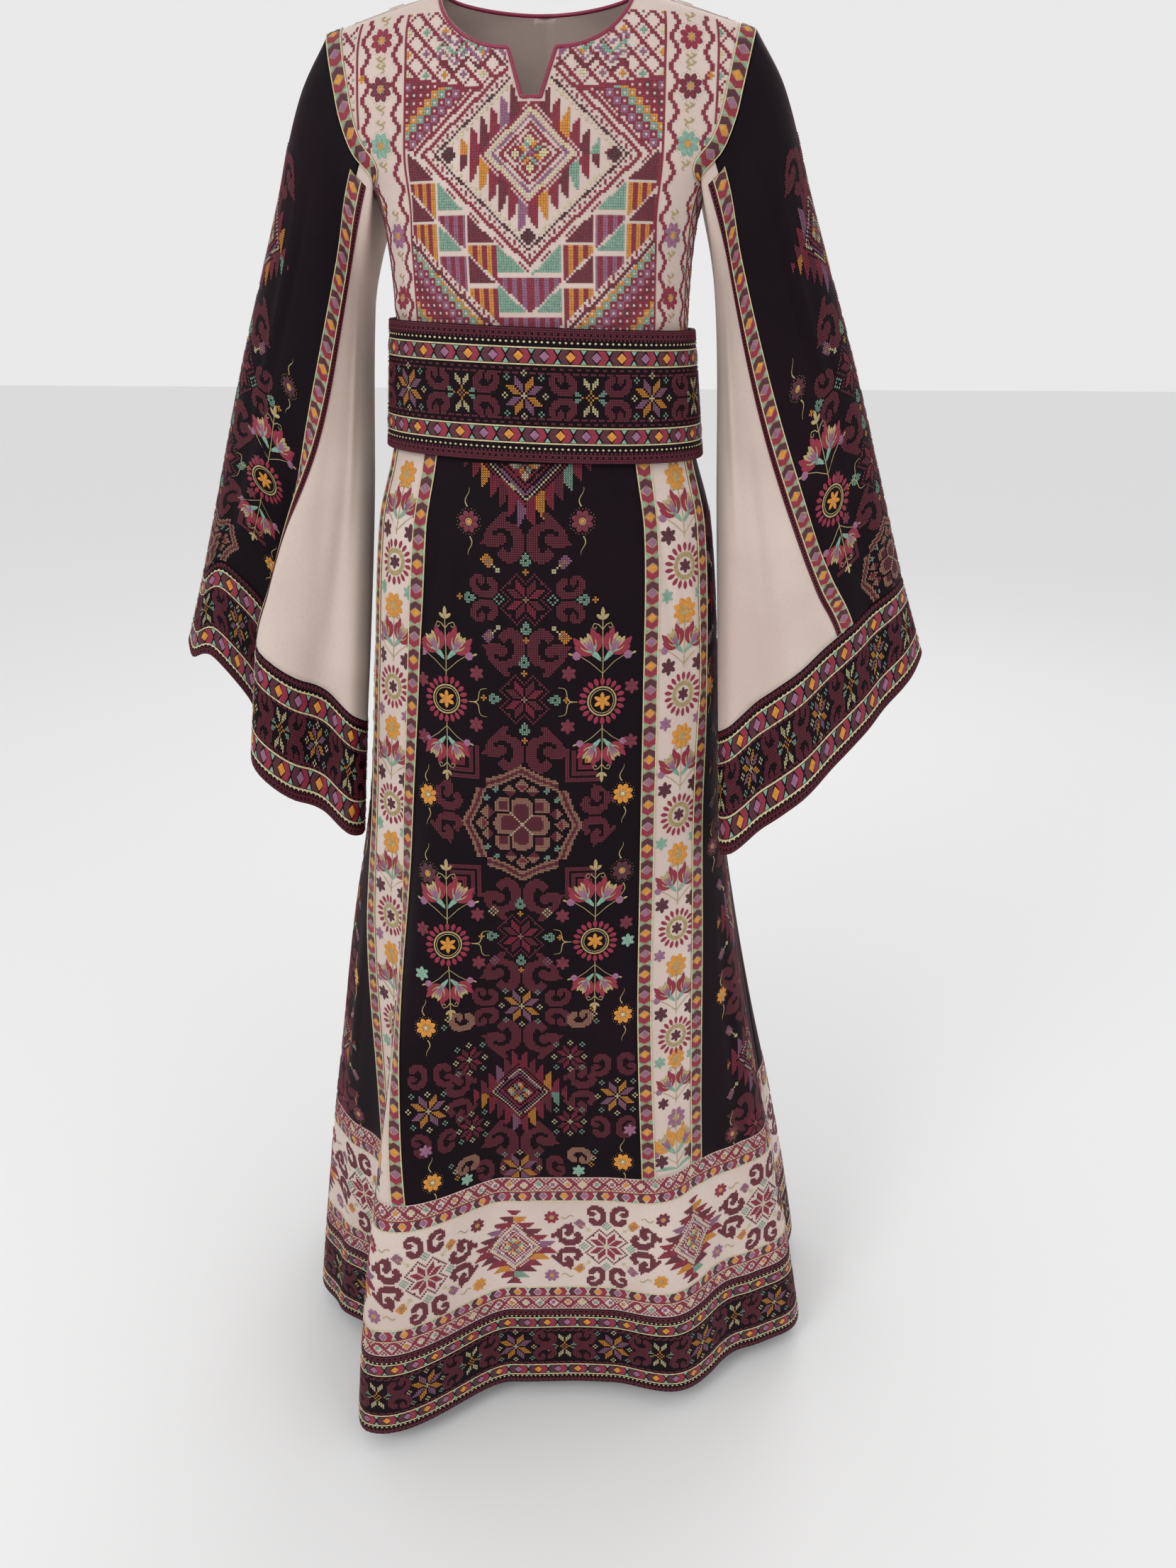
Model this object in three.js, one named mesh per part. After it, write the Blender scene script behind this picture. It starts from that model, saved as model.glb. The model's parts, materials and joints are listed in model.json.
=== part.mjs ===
// An embroidered thobe with bell sleeves, worn on nobody, with its own belt.
// Millimetres, +Z up. The garment's front faces -Y, and +X is to the right of someone who looks at it.
// The origin is between the shoulders, where the wearer holds the garment up.
import * as THREE from "three";

// Driving dimensions
const DRESS_LENGTH = 1425; // shoulders to hem
const WAIST_Z = -330; // seam between bodice and skirt, under the belt
const BORDER_TOP_Z = -1137; // where the skirt panels end and the cream border starts
const BAND_TOP_Z = -1318; // where the border ends and the velvet hem band starts
const CLOTH = 1.6; // wall of every panel
const SEAM = 0.3; // gap between two pieces that are sewn together
const RIBBON_WIDTH = 15;
const RIBBON_CLOTH = 1;
const RIBBON_LIFT = 0.8; // from the panels to the ribbon's back
const BELT_HEIGHT = 113;
const BELT_TOP_Z = -271;
const BELT_CLOTH = 3;
const BELT_CLEAR = 4; // from the dress to the belt's inner face
const BELT_TILT = 5; // the right end of the belt hangs this much lower than its middle
const BELT_OVERLAP = 13; // degrees of each belt end past the centre of the back
const BINDING_WIDTH = 3.2;
const NECK_HALF_WIDTH = 83;
const NECK_Z = -4; // top of the shoulder seam, at the neck
const SHOULDER_SLOPE = 0.29;
const SHOULDER_HALF_WIDTH = 187;
const NECK_FRONT_Z = -56;
const NECK_BACK_Z = -14;
const SLIT_BOTTOM_Z = -94;
const SLIT_TOP_HALF = 20;
const SLIT_BOTTOM_HALF = 8;
const SLEEVE_LENGTH = 600; // armhole to sleeve hem, measured down the cloth
const SLEEVE_BAND_AT = 522; // where the sleeve's hem band starts, measured the same way
const SLEEVE_SEAM_GAP = 0.9; // wider than the others, because the left sleeve folds sharply there
const SLEEVE_ENDS = 8; // a sleeve's normals at the armhole are those of its cloth this far down

const BURGUNDY_VELVET = { color: 0x24101a, roughness: 0.85, metalness: 0 };
const CREAM_CREPE = { color: 0xd8c6bd, roughness: 0.8, metalness: 0 };
const SILK_RIBBON = { color: 0x8a2f45, roughness: 0.6, metalness: 0 };
const CRIMSON_PIPING = { color: 0x8c1f3a, roughness: 0.6, metalness: 0 };

// A short table: column names first, then one row for each section or fold.
function table(columns, ...rows) {
  return rows.map((row) => Object.fromEntries(columns.map((name, k) => [name, row[k]])));
}

// Half widths of the worn garment, to its left and right side
const WIDTHS = table(
  ["z", "left", "right"],
  [0, 214, 214],
  [-40, 212, 212],
  [-90, 203, 203],
  [-130, 180, 180],
  [-162, 150, 150],
  [-200, 140, 140],
  [-271, 136, 136],
  [-330, 137, 137],
  [-385, 146, 146],
  [-450, 164, 164],
  [-600, 179, 178],
  [-750, 194, 187],
  [-900, 220, 207],
  [-1050, 240, 232],
  [-1170, 256, 256],
  [-1300, 272, 281],
  [-DRESS_LENGTH, 288, 303],
);

// How far its front and back stand from the side seams, measured from the shoulder line down
const DEPTHS = table(
  ["z", "front", "back"],
  [0, 0, 0],
  [-4, 17, 16],
  [-12, 30, 28],
  [-30, 46, 48],
  [-60, 60, 66],
  [-100, 76, 82],
  [-150, 98, 92],
  [-200, 111, 94],
  [-271, 104, 84],
  [-330, 101, 82],
  [-385, 108, 92],
  [-450, 118, 106],
  [-600, 134, 124],
  [-750, 149, 140],
  [-1000, 167, 163],
  [-1200, 183, 182],
  [-DRESS_LENGTH, 197, 200],
);
const SECTION_BOXINESS = 0.72; // below 1 the sections are fuller than an ellipse

// Folds of the skirt: where each one lies round the body in degrees from the centre front, how wide it is
// on both sides, how far it stands out at the hem, and the height where it starts
const SKIRT_FOLDS = table(
  ["turn", "before", "after", "out", "from"],
  [-31, 15, 25, 104, -600],
  [-54, 13, 12, -12, -800],
  [8, 18, 16, -6, -900],
  [31, 15, 15, 20, -850],
  [51, 11, 11, -9, -800],
  [74, 15, 17, 18, -650],
  [108, 17, 14, 27, -520],
  [130, 12, 13, -12, -700],
  [152, 14, 16, 34, -480],
  [178, 15, 13, -10, -760],
  [202, 14, 18, 29, -560],
  [229, 13, 12, -13, -640],
  [250, 14, 17, 31, -500],
  [279, 16, 13, 15, -700],
);

// Seams of the skirt, in degrees from the centre front
const SKIRT_SEAMS = table(
  ["z", "outerLeft", "innerLeft", "innerRight", "outerRight"],
  [-330, -73, -42, 43, 74],
  [-450, -71, -42, 41, 69],
  [-600, -69, -43, 38, 64],
  [-750, -66, -43, 36, 59],
  [-950, -55, -35, 31, 51],
  [BORDER_TOP_Z, -45, -28, 28, 44],
);
const SIDE_SEAM = 96; // degrees from the centre front to the seam between side and back panels

// The armhole from the underarm up to the shoulder tip
const ARMHOLE = table(
  ["share", "x", "z"],
  [0, 150, -162],
  [0.15, 143, -151],
  [0.3, 160, -132],
  [0.5, 171, -106],
  [0.7, 177, -80],
  [0.85, 182, -57],
  [1, SHOULDER_HALF_WIDTH, NECK_Z - SHOULDER_SLOPE * (SHOULDER_HALF_WIDTH - NECK_HALF_WIDTH)],
);

// Sections of a sleeve: its outer edge, its inner edge, half its depth, and how much its middle hangs
const SLEEVE_SECTIONS = table(
  ["down", "outerX", "outerZ", "innerX", "innerY", "innerZ", "deep", "hang"],
  [0, 187, -34, 150, 0, -162, 52, 0],
  [60, 215, -80, 157, -4, -215, 54, 0],
  [150, 243, -165, 164, -8, -297, 54, 0],
  [300, 295, -310, 169, -24, -436, 50, 0],
  [450, 339, -448, 175, -56, -578, 46, 0],
  [SLEEVE_BAND_AT, 358, -508, 178, -76, -650, 42, -10],
  [SLEEVE_LENGTH, 386, -585, 183, -104, -768, 38, 14],
);
const ARMHOLE_ROWS = 12; // rows of the bodice between underarm and shoulder tip
const UNDERARM_EASE = 1.4; // the sleeve starts this much further out under the arm
const ARMHOLE_EASE = 110; // length over which the armhole's shape turns into the sleeve's own sections

// Folds of a sleeve, in degrees round it from its inner edge by the front
const SLEEVE_FOLDS = table(
  ["turn", "width", "out", "from"],
  [26, 17, 9, 60],
  [52, 15, -8, 120],
  [80, 18, 8, 200],
  [128, 14, -7, 60],
  [152, 16, 7, 120],
  [215, 20, 9, 90],
  [246, 17, -8, 160],
  [281, 22, 10, 100],
  [317, 17, -6, 180],
);

// Where the velvet of a sleeve meets the crepe panel under the arm, in degrees from the inner edge
const SLEEVE_SEAM = table(
  ["down", "turn"],
  [0, 45],
  [150, 66],
  [300, 84],
  [450, 102],
  [SLEEVE_BAND_AT, 110],
);

// What differs between the sleeves: how much further the inner edge lies back, out and down at the hem, how
// many degrees nearer to it the seam ends, and the size of the crepe's fold over the velvet beside the seam
const SLEEVES = [
  { name: "left", side: -1, innerBack: 52, innerOut: 15, innerLower: 16, seamIn: 12, overlap: 21 },
  { name: "right", side: 1, innerBack: 0, innerOut: 0, innerLower: 0, seamIn: 0, overlap: 0 },
];

const radians = THREE.MathUtils.degToRad;
const { clamp, lerp } = THREE.MathUtils;

function smooth(share) {
  const t = clamp(share, 0, 1);
  return t * t * (3 - 2 * t);
}

// A rounded hump, 1 in its middle and 0 from one width away.
function hump(distance, width) {
  const t = Math.abs(distance) / width;
  return t < 1 ? Math.cos((t * Math.PI) / 2) ** 2 : 0;
}

// A column of a table, read on a smooth curve through its rows.
function read(rows, column, at) {
  const key = Object.keys(rows[0])[0];
  const last = rows.length - 1;
  const way = Math.sign(rows[last][key] - rows[0][key]);
  let k = 0;
  while (k < last - 1 && (at - rows[k + 1][key]) * way > 0) k += 1;
  const slope = (row) => {
    const before = rows[Math.max(row - 1, 0)];
    const after = rows[Math.min(row + 1, last)];
    return (after[column] - before[column]) / (after[key] - before[key]);
  };
  const [low, high] = [rows[k], rows[k + 1]];
  const span = high[key] - low[key];
  const t = clamp((at - low[key]) / span, 0, 1);
  const bend = t * (1 - t) * span;
  const straight = (high[column] - low[column]) / span;
  const eased = bend * ((1 - t) * (slope(k) - straight) - t * (slope(k + 1) - straight));
  return lerp(low[column], high[column], t) + eased;
}

function shoulderLine(x) {
  return NECK_Z - SHOULDER_SLOPE * (Math.abs(x) - NECK_HALF_WIDTH);
}

function halfWidth(z, side) {
  return read(WIDTHS, side < 0 ? "left" : "right", z);
}

function skirtFold(turn, z) {
  let out = 0;
  for (const fold of SKIRT_FOLDS) {
    const off = THREE.MathUtils.euclideanModulo(turn - fold.turn + 180, 360) - 180;
    const grown = smooth((fold.from - z) / (fold.from + DRESS_LENGTH));
    out += fold.out * grown * hump(off, off < 0 ? fold.before : fold.after);
  }
  return out;
}

// A point of the worn dress: degrees round the body from its centre front, and height.
function body(turn, z) {
  const [sine, cosine] = [Math.sin(radians(turn)), Math.cos(radians(turn))];
  const half = halfWidth(z, sine);
  const x = half * sine;
  const yoke = smooth((z + 165) / 105);
  const level = Math.min(z - shoulderLine(x) * yoke, 0);
  const depth = read(DEPTHS, cosine > 0 ? "front" : "back", level);
  const point = new THREE.Vector3(x, -Math.sign(cosine) * depth * Math.abs(cosine) ** SECTION_BOXINESS, z);
  const outward = new THREE.Vector3(depth * sine, -half * cosine, 0).normalize();
  return point.addScaledVector(outward, skirtFold(turn, z));
}

// Degrees from the centre front at which a section of the dress reaches x.
function turnAt(x, z) {
  return THREE.MathUtils.radToDeg(Math.asin(clamp(x / halfWidth(z, x), -1, 1)));
}

// The armhole runs straight between the rows of the bodice panels, so the sleeve meets them exactly.
function armholeEdge(share) {
  const z = read(ARMHOLE, "z", share);
  return { turn: share === 0 ? 90 : turnAt(read(ARMHOLE, "x", share), z), z };
}

function armhole(side, turn) {
  const round = THREE.MathUtils.euclideanModulo(turn, 360);
  const front = round <= 180;
  const step = ((front ? round : 360 - round) / 180) * ARMHOLE_ROWS;
  const [low, high] = [Math.floor(step + 1e-9), Math.ceil(step - 1e-9)].map((k) => {
    const edge = armholeEdge(k / ARMHOLE_ROWS);
    return body(side * (front ? edge.turn : 180 - edge.turn), edge.z);
  });
  return low.lerp(high, step - Math.floor(step + 1e-9));
}

function sleeveSeam(shape, down) {
  const share = clamp(down / SLEEVE_BAND_AT, 0, 1);
  return read(SLEEVE_SEAM, "turn", share * SLEEVE_BAND_AT) - shape.seamIn * share ** 2;
}

// A point of a sleeve's own sections: degrees round it from its inner edge by the front, and length of
// cloth down it.
function sleeveSection(shape, turn, down) {
  const { side, innerBack, innerOut, innerLower, overlap } = shape;
  const at = (column) => read(SLEEVE_SECTIONS, column, down);
  const share = Math.max(down, 0) / SLEEVE_LENGTH;
  const outer = new THREE.Vector3(side * at("outerX"), 0, at("outerZ"));
  const innerX = side * (at("innerX") + innerOut * share ** 2);
  const innerY = at("innerY") + innerBack * share ** 2;
  const inner = new THREE.Vector3(innerX, innerY, at("innerZ") - innerLower * share ** 2);
  const [sine, cosine] = [Math.sin(radians(turn)), Math.cos(radians(turn))];
  const point = outer.clone().add(inner).multiplyScalar(0.5);
  const half = inner.clone().sub(point);
  let folds = 0;
  for (const fold of SLEEVE_FOLDS) {
    const off = THREE.MathUtils.euclideanModulo(turn - fold.turn + 180, 360) - 180;
    folds += fold.out * hump(off, fold.width) * smooth((down - fold.from) / (SLEEVE_LENGTH - fold.from));
  }
  point.addScaledVector(half, cosine);
  point.y -= (at("deep") + folds) * sine;
  point.z -= at("hang") * Math.abs(sine);
  // Where the crepe laps over the velvet, the cloth swings inwards past the seam and outwards before it.
  const lapped = overlap * smooth((down - 190) / 260);
  const fromSeam = turn - sleeveSeam(shape, down);
  point.addScaledVector(half.normalize(), lapped * (hump(fromSeam - 12, 15) - hump(fromSeam + 13, 17)));
  point.y += lapped * (0.8 * hump(fromSeam - 12, 18) - 0.9 * hump(fromSeam + 15, 24));
  point.z += lapped * share * (2 * hump(fromSeam - 24, 38) - 0.4 * hump(fromSeam + 16, 30));
  return point;
}

// The sleeve itself leaves the armhole and eases into its own sections.
function sleeve(shape, turn, down) {
  const start = armhole(shape.side, turn).sub(sleeveSection(shape, turn, 0));
  return sleeveSection(shape, turn, down).addScaledVector(start, 1 - smooth(down / ARMHOLE_EASE));
}

// A point of a form with its outward normal. The normal is worked out from the form and not from a piece's
// own grid, so two pieces that meet at a seam have the same one there.
function spot(form, u, v, out = 1) {
  const step = 0.5;
  const across = form(u + step, v).sub(form(u - step, v));
  const upward = form(u, v + step).sub(form(u, v - step));
  return { point: form(u, v), normal: across.cross(upward).multiplyScalar(out).normalize() };
}

function mesh(name, finish, positions, triangles) {
  const geometry = new THREE.BufferGeometry();
  geometry.setAttribute("position", new THREE.Float32BufferAttribute(positions.flat(), 3));
  geometry.setIndex(triangles.flat());
  geometry.computeVertexNormals();
  const made = new THREE.Mesh(geometry, new THREE.MeshStandardMaterial(finish));
  made.name = name;
  return made;
}

// A cloth wall over a grid of spots, closed at its borders and round any hole. Its outer face stands off the
// spots by its lift, and out is 1 where its columns run to the right for someone who looks at it.
function wall(name, finish, columns, rows, place, settings = {}) {
  const { out = 1, lift = 0, thickness = CLOTH } = settings;
  const { ring = false, hole = () => false } = settings;
  const wide = ring ? columns : columns + 1;
  const vertex = (i, j, layer) => ((i % wide) * (rows + 1) + j) * 2 + layer;
  const positions = [];
  for (let i = 0; i < wide; i += 1) {
    for (let j = 0; j <= rows; j += 1) {
      const { point, normal } = place(i, j);
      positions.push(point.clone().addScaledVector(normal, lift).toArray());
      positions.push(point.clone().addScaledVector(normal, lift - thickness).toArray());
    }
  }
  const triangles = [];
  // Both faces of a wall are split along the same diagonal, and so is what lies on it.
  const quad = (a, b, c, d, turned) => {
    if (turned) triangles.push([a, c, b], [a, d, c]);
    else triangles.push([a, b, c], [a, c, d]);
  };
  const there = (i, j) => {
    const inside = ring || (i >= 0 && i < columns);
    return inside && j >= 0 && j < rows && !hole((i + columns) % columns, j);
  };
  for (let i = 0; i < columns; i += 1) {
    for (let j = 0; j < rows; j += 1) {
      if (!there(i, j)) continue;
      const corners = [[i, j], [i + 1, j], [i + 1, j + 1], [i, j + 1]];
      quad(...corners.map(([a, b]) => vertex(a, b, 0)), out < 0);
      quad(...corners.map(([a, b]) => vertex(a, b, 1)), out > 0);
      const beyond = [[i, j - 1], [i + 1, j], [i, j + 1], [i - 1, j]];
      beyond.forEach(([a, b], side) => {
        if (there(a, b)) return;
        const [from, to] = [corners[side], corners[(side + 1) % 4]];
        quad(vertex(...to, 0), vertex(...from, 0), vertex(...from, 1), vertex(...to, 1), out < 0);
      });
    }
  }
  const used = [...new Set(triangles.flat())].sort((a, b) => a - b);
  const renumbered = new Map(used.map((old, k) => [old, k]));
  const kept = used.map((old) => positions[old]);
  return mesh(name, finish, kept, triangles.map((corners) => corners.map((v) => renumbered.get(v))));
}

// Degrees round a form that cover a length of cloth.
function degreesFor(form, turn, at, length) {
  const reach = form(turn + 1, at).distanceTo(form(turn - 1, at));
  return (2 * length) / Math.max(reach, 1);
}

// Where a panel's column lies between its two edges. A ribbon sewn over an edge covers exactly one column
// there, so the ribbon is made from the panel's own points.
function columnAt(i, columns, [left, right], [leftReach, rightReach]) {
  if (i === 0) return left;
  if (i === columns) return right;
  const [from, to] = [leftReach ? 1 : 0, columns - (rightReach ? 1 : 0)];
  return lerp(left + leftReach, right - rightReach, (i - from) / (to - from));
}

// A spot of the dress on one row of a tier of panels, which lies between two heights. The upper and lower
// edges of a tier are cut level.
function tierSpot(tier, turn, row) {
  const z = lerp(tier.low + SEAM / 2, tier.high - SEAM / 2, row / tier.rows);
  const made = spot(body, turn, z);
  if (row === 0 || row === tier.rows) made.normal.setZ(0).normalize();
  return made;
}

function tierPanel(tier, { name, finish, columns, seams, ribbons = [false, false] }) {
  const place = (i, row) => {
    const z = lerp(tier.low, tier.high, row / tier.rows);
    const edges = seams.map((seam) => seam(z));
    const gaps = edges.map((turn) => degreesFor(body, turn, z, SEAM / 2));
    const reaches = edges.map((turn, k) => (ribbons[k] ? degreesFor(body, turn, z, RIBBON_WIDTH / 2) : 0));
    let turn = columnAt(i, columns, edges, reaches);
    if (i === 0) turn += gaps[0];
    if (i === columns) turn -= gaps[1];
    return tierSpot(tier, turn, row);
  };
  return wall(name, finish, columns, tier.rows, place);
}

const parts = new THREE.Group();

// Bodice: a front with a slit below its round neck, and a back. Both are worked out row by row between an
// inner edge, which is a narrow core at the centre and then the neck's edge, and the side seam and armhole.
const BODICE_COLUMNS = 24;
const UNDERARM_ROW = 5;
const BODICE_ROWS = UNDERARM_ROW + ARMHOLE_ROWS;
const SLIT_TOP_ROW = 10;
const CORE_SHARE = 2 / BODICE_COLUMNS; // one column on each side of the centre ends at the slit or neck

function neckCurve(share, bottomZ, startHalf) {
  const around = radians(share * 90);
  const x = lerp(startHalf, NECK_HALF_WIDTH, Math.sin(around));
  return { x, z: lerp(bottomZ, NECK_Z, 1 - Math.cos(around)) };
}

const FRONT = {
  way: 1,
  splitRow: 7,
  neckEdge(row) {
    const share = (row - this.splitRow) / (SLIT_TOP_ROW - this.splitRow);
    const x = lerp(SLIT_BOTTOM_HALF, SLIT_TOP_HALF, share);
    if (share <= 1) return { x, z: lerp(SLIT_BOTTOM_Z, NECK_FRONT_Z, share) };
    return neckCurve((row - SLIT_TOP_ROW) / (BODICE_ROWS - SLIT_TOP_ROW), NECK_FRONT_Z, SLIT_TOP_HALF);
  },
};
const BACK = {
  way: -1,
  splitRow: SLIT_TOP_ROW,
  neckEdge(row) {
    return neckCurve((row - SLIT_TOP_ROW) / (BODICE_ROWS - SLIT_TOP_ROW), NECK_BACK_Z, SLIT_BOTTOM_HALF);
  },
};

// The share of a row that the ribbon round the armhole covers, out of 1 from centre to edge
function armholeRibbonShare(panel, row) {
  const edge = bodiceSpot(panel, 1, row).point;
  const core = bodiceSpot(panel, CORE_SHARE, row).point;
  return ((1 - CORE_SHARE) * RIBBON_WIDTH) / edge.distanceTo(core);
}

// A spot of a bodice panel: across runs from -1 at the left side seam or armhole to 1 at the right.
function bodiceSpot(panel, across, row) {
  const side = Math.sign(across) || 1;
  const away = Math.abs(across);
  const bottom = WAIST_Z + SEAM / 2;
  const aboveUnderarm = row >= UNDERARM_ROW;
  const edge = aboveUnderarm
    ? armholeEdge((row - UNDERARM_ROW) / ARMHOLE_ROWS)
    : { turn: 90, z: lerp(bottom, ARMHOLE[0].z, row / UNDERARM_ROW) };
  const neck = panel.neckEdge(Math.max(row, panel.splitRow));
  const innerZ = row < panel.splitRow ? lerp(bottom, neck.z, row / panel.splitRow) : neck.z;
  const innerTurn = turnAt(neck.x, neck.z);
  const share = Math.max(0, (away - CORE_SHARE) / (1 - CORE_SHARE));
  const turn = away < CORE_SHARE ? (innerTurn * away) / CORE_SHARE : lerp(innerTurn, edge.turn, share);
  let z = lerp(innerZ, edge.z, share);
  const shoulder = row === BODICE_ROWS;
  if (shoulder) z = shoulderLine(halfWidth(z, side) * Math.sin(radians(turn)));
  const made = spot(body, side * (panel.way > 0 ? turn : 180 - turn), z);
  if (shoulder) made.normal.set(side * SHOULDER_SLOPE, 0, 1).normalize();
  const sideSeam = away === 1 && row <= UNDERARM_ROW;
  if (shoulder || sideSeam) made.point.y = -panel.way * SEAM * 0.6;
  if (away === 1 && aboveUnderarm) {
    made.normal = armholeNormal(side, (panel.way * 180 * (row - UNDERARM_ROW)) / ARMHOLE_ROWS, made.normal);
    made.point.x -= side * SEAM * 0.7;
  }
  return made;
}

// At a ridge, where the sleeve falls away from the bodice, both have the normal between their own two.
function armholeNormal(side, turn, own) {
  const round = THREE.MathUtils.euclideanModulo(turn, 360);
  const front = round <= 180;
  const edge = armholeEdge((front ? round : 360 - round) / 180);
  const ofBody = spot(body, side * (front ? edge.turn : 180 - edge.turn), edge.z).normal;
  if (edge.z > ARMHOLE.at(-1).z - 1) ofBody.set(0, 0, 1);
  const form = (u, v) => sleeve(SLEEVES[side > 0 ? 1 : 0], u, v);
  const ofSleeve = spot(form, round, SLEEVE_ENDS, -side).normal;
  const away = form(round, 2 * SLEEVE_ENDS).sub(form(round, 0)).normalize();
  const ridge = smooth(0.2 - 3 * away.dot(ofBody));
  const between = ofBody.add(ofSleeve).normalize();
  return own.clone().lerp(between, ridge).normalize();
}

function bodicePanel(name, panel) {
  const place = (i, row) => {
    const reach = row > UNDERARM_ROW ? armholeRibbonShare(panel, row) : 0;
    const side = i < BODICE_COLUMNS / 2 ? -1 : 1;
    const step = Math.abs(i - BODICE_COLUMNS / 2);
    const away = step < 1 ? 0 : columnAt(step - 1, BODICE_COLUMNS / 2 - 1, [CORE_SHARE, 1], [0, reach]);
    return bodiceSpot(panel, side * away, row);
  };
  const core = [BODICE_COLUMNS / 2 - 1, BODICE_COLUMNS / 2];
  const hole = (i, j) => core.includes(i) && j >= panel.splitRow;
  parts.add(wall(name, CREAM_CREPE, BODICE_COLUMNS, BODICE_ROWS, place, { hole, out: panel.way }));
}
bodicePanel("bodice_front", FRONT);
bodicePanel("bodice_back", BACK);

// Piping that binds the neck and its slit, in one closed loop beside the edges of the bodice
function neckLoop() {
  const rows = (panel) => {
    const count = BODICE_ROWS - panel.splitRow + 1;
    return Array.from({ length: count }, (_, k) => panel.splitRow + k);
  };
  const down = (panel, side) =>
    rows(panel).reverse().map((row) => bodiceSpot(panel, side * CORE_SHARE, row));
  const up = (panel, side) => down(panel, side).reverse();
  const front = [...down(FRONT, 1), ...up(FRONT, -1)];
  return [...front, ...down(BACK, -1).slice(1), ...up(BACK, 1).slice(0, -1)];
}

function piping(name, finish, loop, radius, sides = 6) {
  const count = loop.length;
  const positions = [];
  loop.forEach(({ point, normal }, k) => {
    const before = loop[(k + count - 1) % count].point;
    const after = loop[(k + 1) % count].point;
    const arrive = point.clone().sub(before).normalize();
    const leave = after.clone().sub(point).normalize();
    const along = arrive.clone().add(leave).normalize();
    const inward = along.clone().cross(normal).normalize();
    const mitre = 1 / Math.max(0.6, along.dot(leave));
    const centre = point.clone().addScaledVector(inward, (radius + SEAM) * mitre);
    centre.addScaledVector(normal, -CLOTH / 2);
    for (let s = 0; s < sides; s += 1) {
      const angle = (s / sides) * 2 * Math.PI;
      const corner = centre.clone().addScaledVector(inward, radius * mitre * Math.cos(angle));
      positions.push(corner.addScaledVector(normal, radius * Math.sin(angle)).toArray());
    }
  });
  const triangles = [];
  for (let k = 0; k < count; k += 1) {
    for (let s = 0; s < sides; s += 1) {
      const next = (s + 1) % sides;
      const [a, b] = [k * sides + s, k * sides + next];
      const [c, d] = [((k + 1) % count) * sides + s, ((k + 1) % count) * sides + next];
      triangles.push([a, d, b], [a, c, d]);
    }
  }
  return mesh(name, finish, positions, triangles);
}
parts.add(piping("neck_binding", CRIMSON_PIPING, neckLoop(), BINDING_WIDTH / 2));

// Skirt: a velvet front between two cream strips, velvet sides and a velvet back
const SKIRT = { low: BORDER_TOP_Z, high: WAIST_Z, rows: 11 };
const seamAt = (name) => (z) => read(SKIRT_SEAMS, name, z);
const LEFT_SIDE = () => -SIDE_SEAM;
const RIGHT_SIDE = () => SIDE_SEAM;
const LEFT_SIDE_BY_BACK = () => 360 - SIDE_SEAM;
const [OUTER_LEFT, INNER_LEFT] = [seamAt("outerLeft"), seamAt("innerLeft")];
const [INNER_RIGHT, OUTER_RIGHT] = [seamAt("innerRight"), seamAt("outerRight")];
const SKIRT_PANELS = table(
  ["name", "finish", "columns", "seams", "ribbons"],
  ["skirt_front", BURGUNDY_VELVET, 20, [INNER_LEFT, INNER_RIGHT], [true, true]],
  ["skirt_strip_left", CREAM_CREPE, 7, [OUTER_LEFT, INNER_LEFT], [true, true]],
  ["skirt_strip_right", CREAM_CREPE, 6, [INNER_RIGHT, OUTER_RIGHT], [true, true]],
  ["skirt_side_left", BURGUNDY_VELVET, 8, [LEFT_SIDE, OUTER_LEFT], [false, true]],
  ["skirt_side_right", BURGUNDY_VELVET, 8, [OUTER_RIGHT, RIGHT_SIDE], [true, false]],
  ["skirt_back", BURGUNDY_VELVET, 28, [RIGHT_SIDE, LEFT_SIDE_BY_BACK], [false, false]],
);
for (const panel of SKIRT_PANELS) parts.add(tierPanel(SKIRT, panel));

// Hem: an embroidered cream border and a velvet band below it, each in a front and a back half
const BORDER = { low: BAND_TOP_Z, high: BORDER_TOP_Z, rows: 3 };
const BAND = { low: -DRESS_LENGTH, high: BAND_TOP_Z, rows: 2 };
const HEM_PANELS = table(
  ["name", "tier", "finish", "columns", "seams"],
  ["hem_border_front", BORDER, CREAM_CREPE, 42, [LEFT_SIDE, RIGHT_SIDE]],
  ["hem_border_back", BORDER, CREAM_CREPE, 28, [RIGHT_SIDE, LEFT_SIDE_BY_BACK]],
  ["hem_band_front", BAND, BURGUNDY_VELVET, 42, [LEFT_SIDE, RIGHT_SIDE]],
  ["hem_band_back", BAND, BURGUNDY_VELVET, 28, [RIGHT_SIDE, LEFT_SIDE_BY_BACK]],
);
for (const panel of HEM_PANELS) parts.add(tierPanel(panel.tier, panel));

// Sleeves: velvet over the arm, a crepe panel under it, and a hem band round both
const SLEEVE_ROWS = 10;
const VELVET_COLUMNS = 18;
const UNDER_COLUMNS = 12;
const sleeveDown = (row) => (SLEEVE_BAND_AT - SLEEVE_SEAM_GAP / 2) * (row / SLEEVE_ROWS) ** 1.2;

function sleeveSpot(shape, turn, down) {
  const made = spot((u, v) => sleeve(shape, u, v), turn, Math.max(down, SLEEVE_ENDS), -shape.side);
  if (down > 0) {
    made.point = sleeve(shape, turn, down);
    return made;
  }
  const underarm = hump(THREE.MathUtils.euclideanModulo(turn + 180, 360) - 180, 50);
  made.point = armhole(shape.side, turn);
  made.point.x += shape.side * (SEAM * 0.7 + UNDERARM_EASE * underarm);
  made.normal = armholeNormal(shape.side, turn, made.normal);
  return made;
}

function sleeveColumn(shape, i, columns, edges, down) {
  const form = (u, v) => sleeve(shape, u, v);
  const reaches = edges.map((turn) => (down ? degreesFor(form, turn, down, RIBBON_WIDTH / 2) : 0));
  return columnAt(i, columns, edges, reaches);
}

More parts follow.
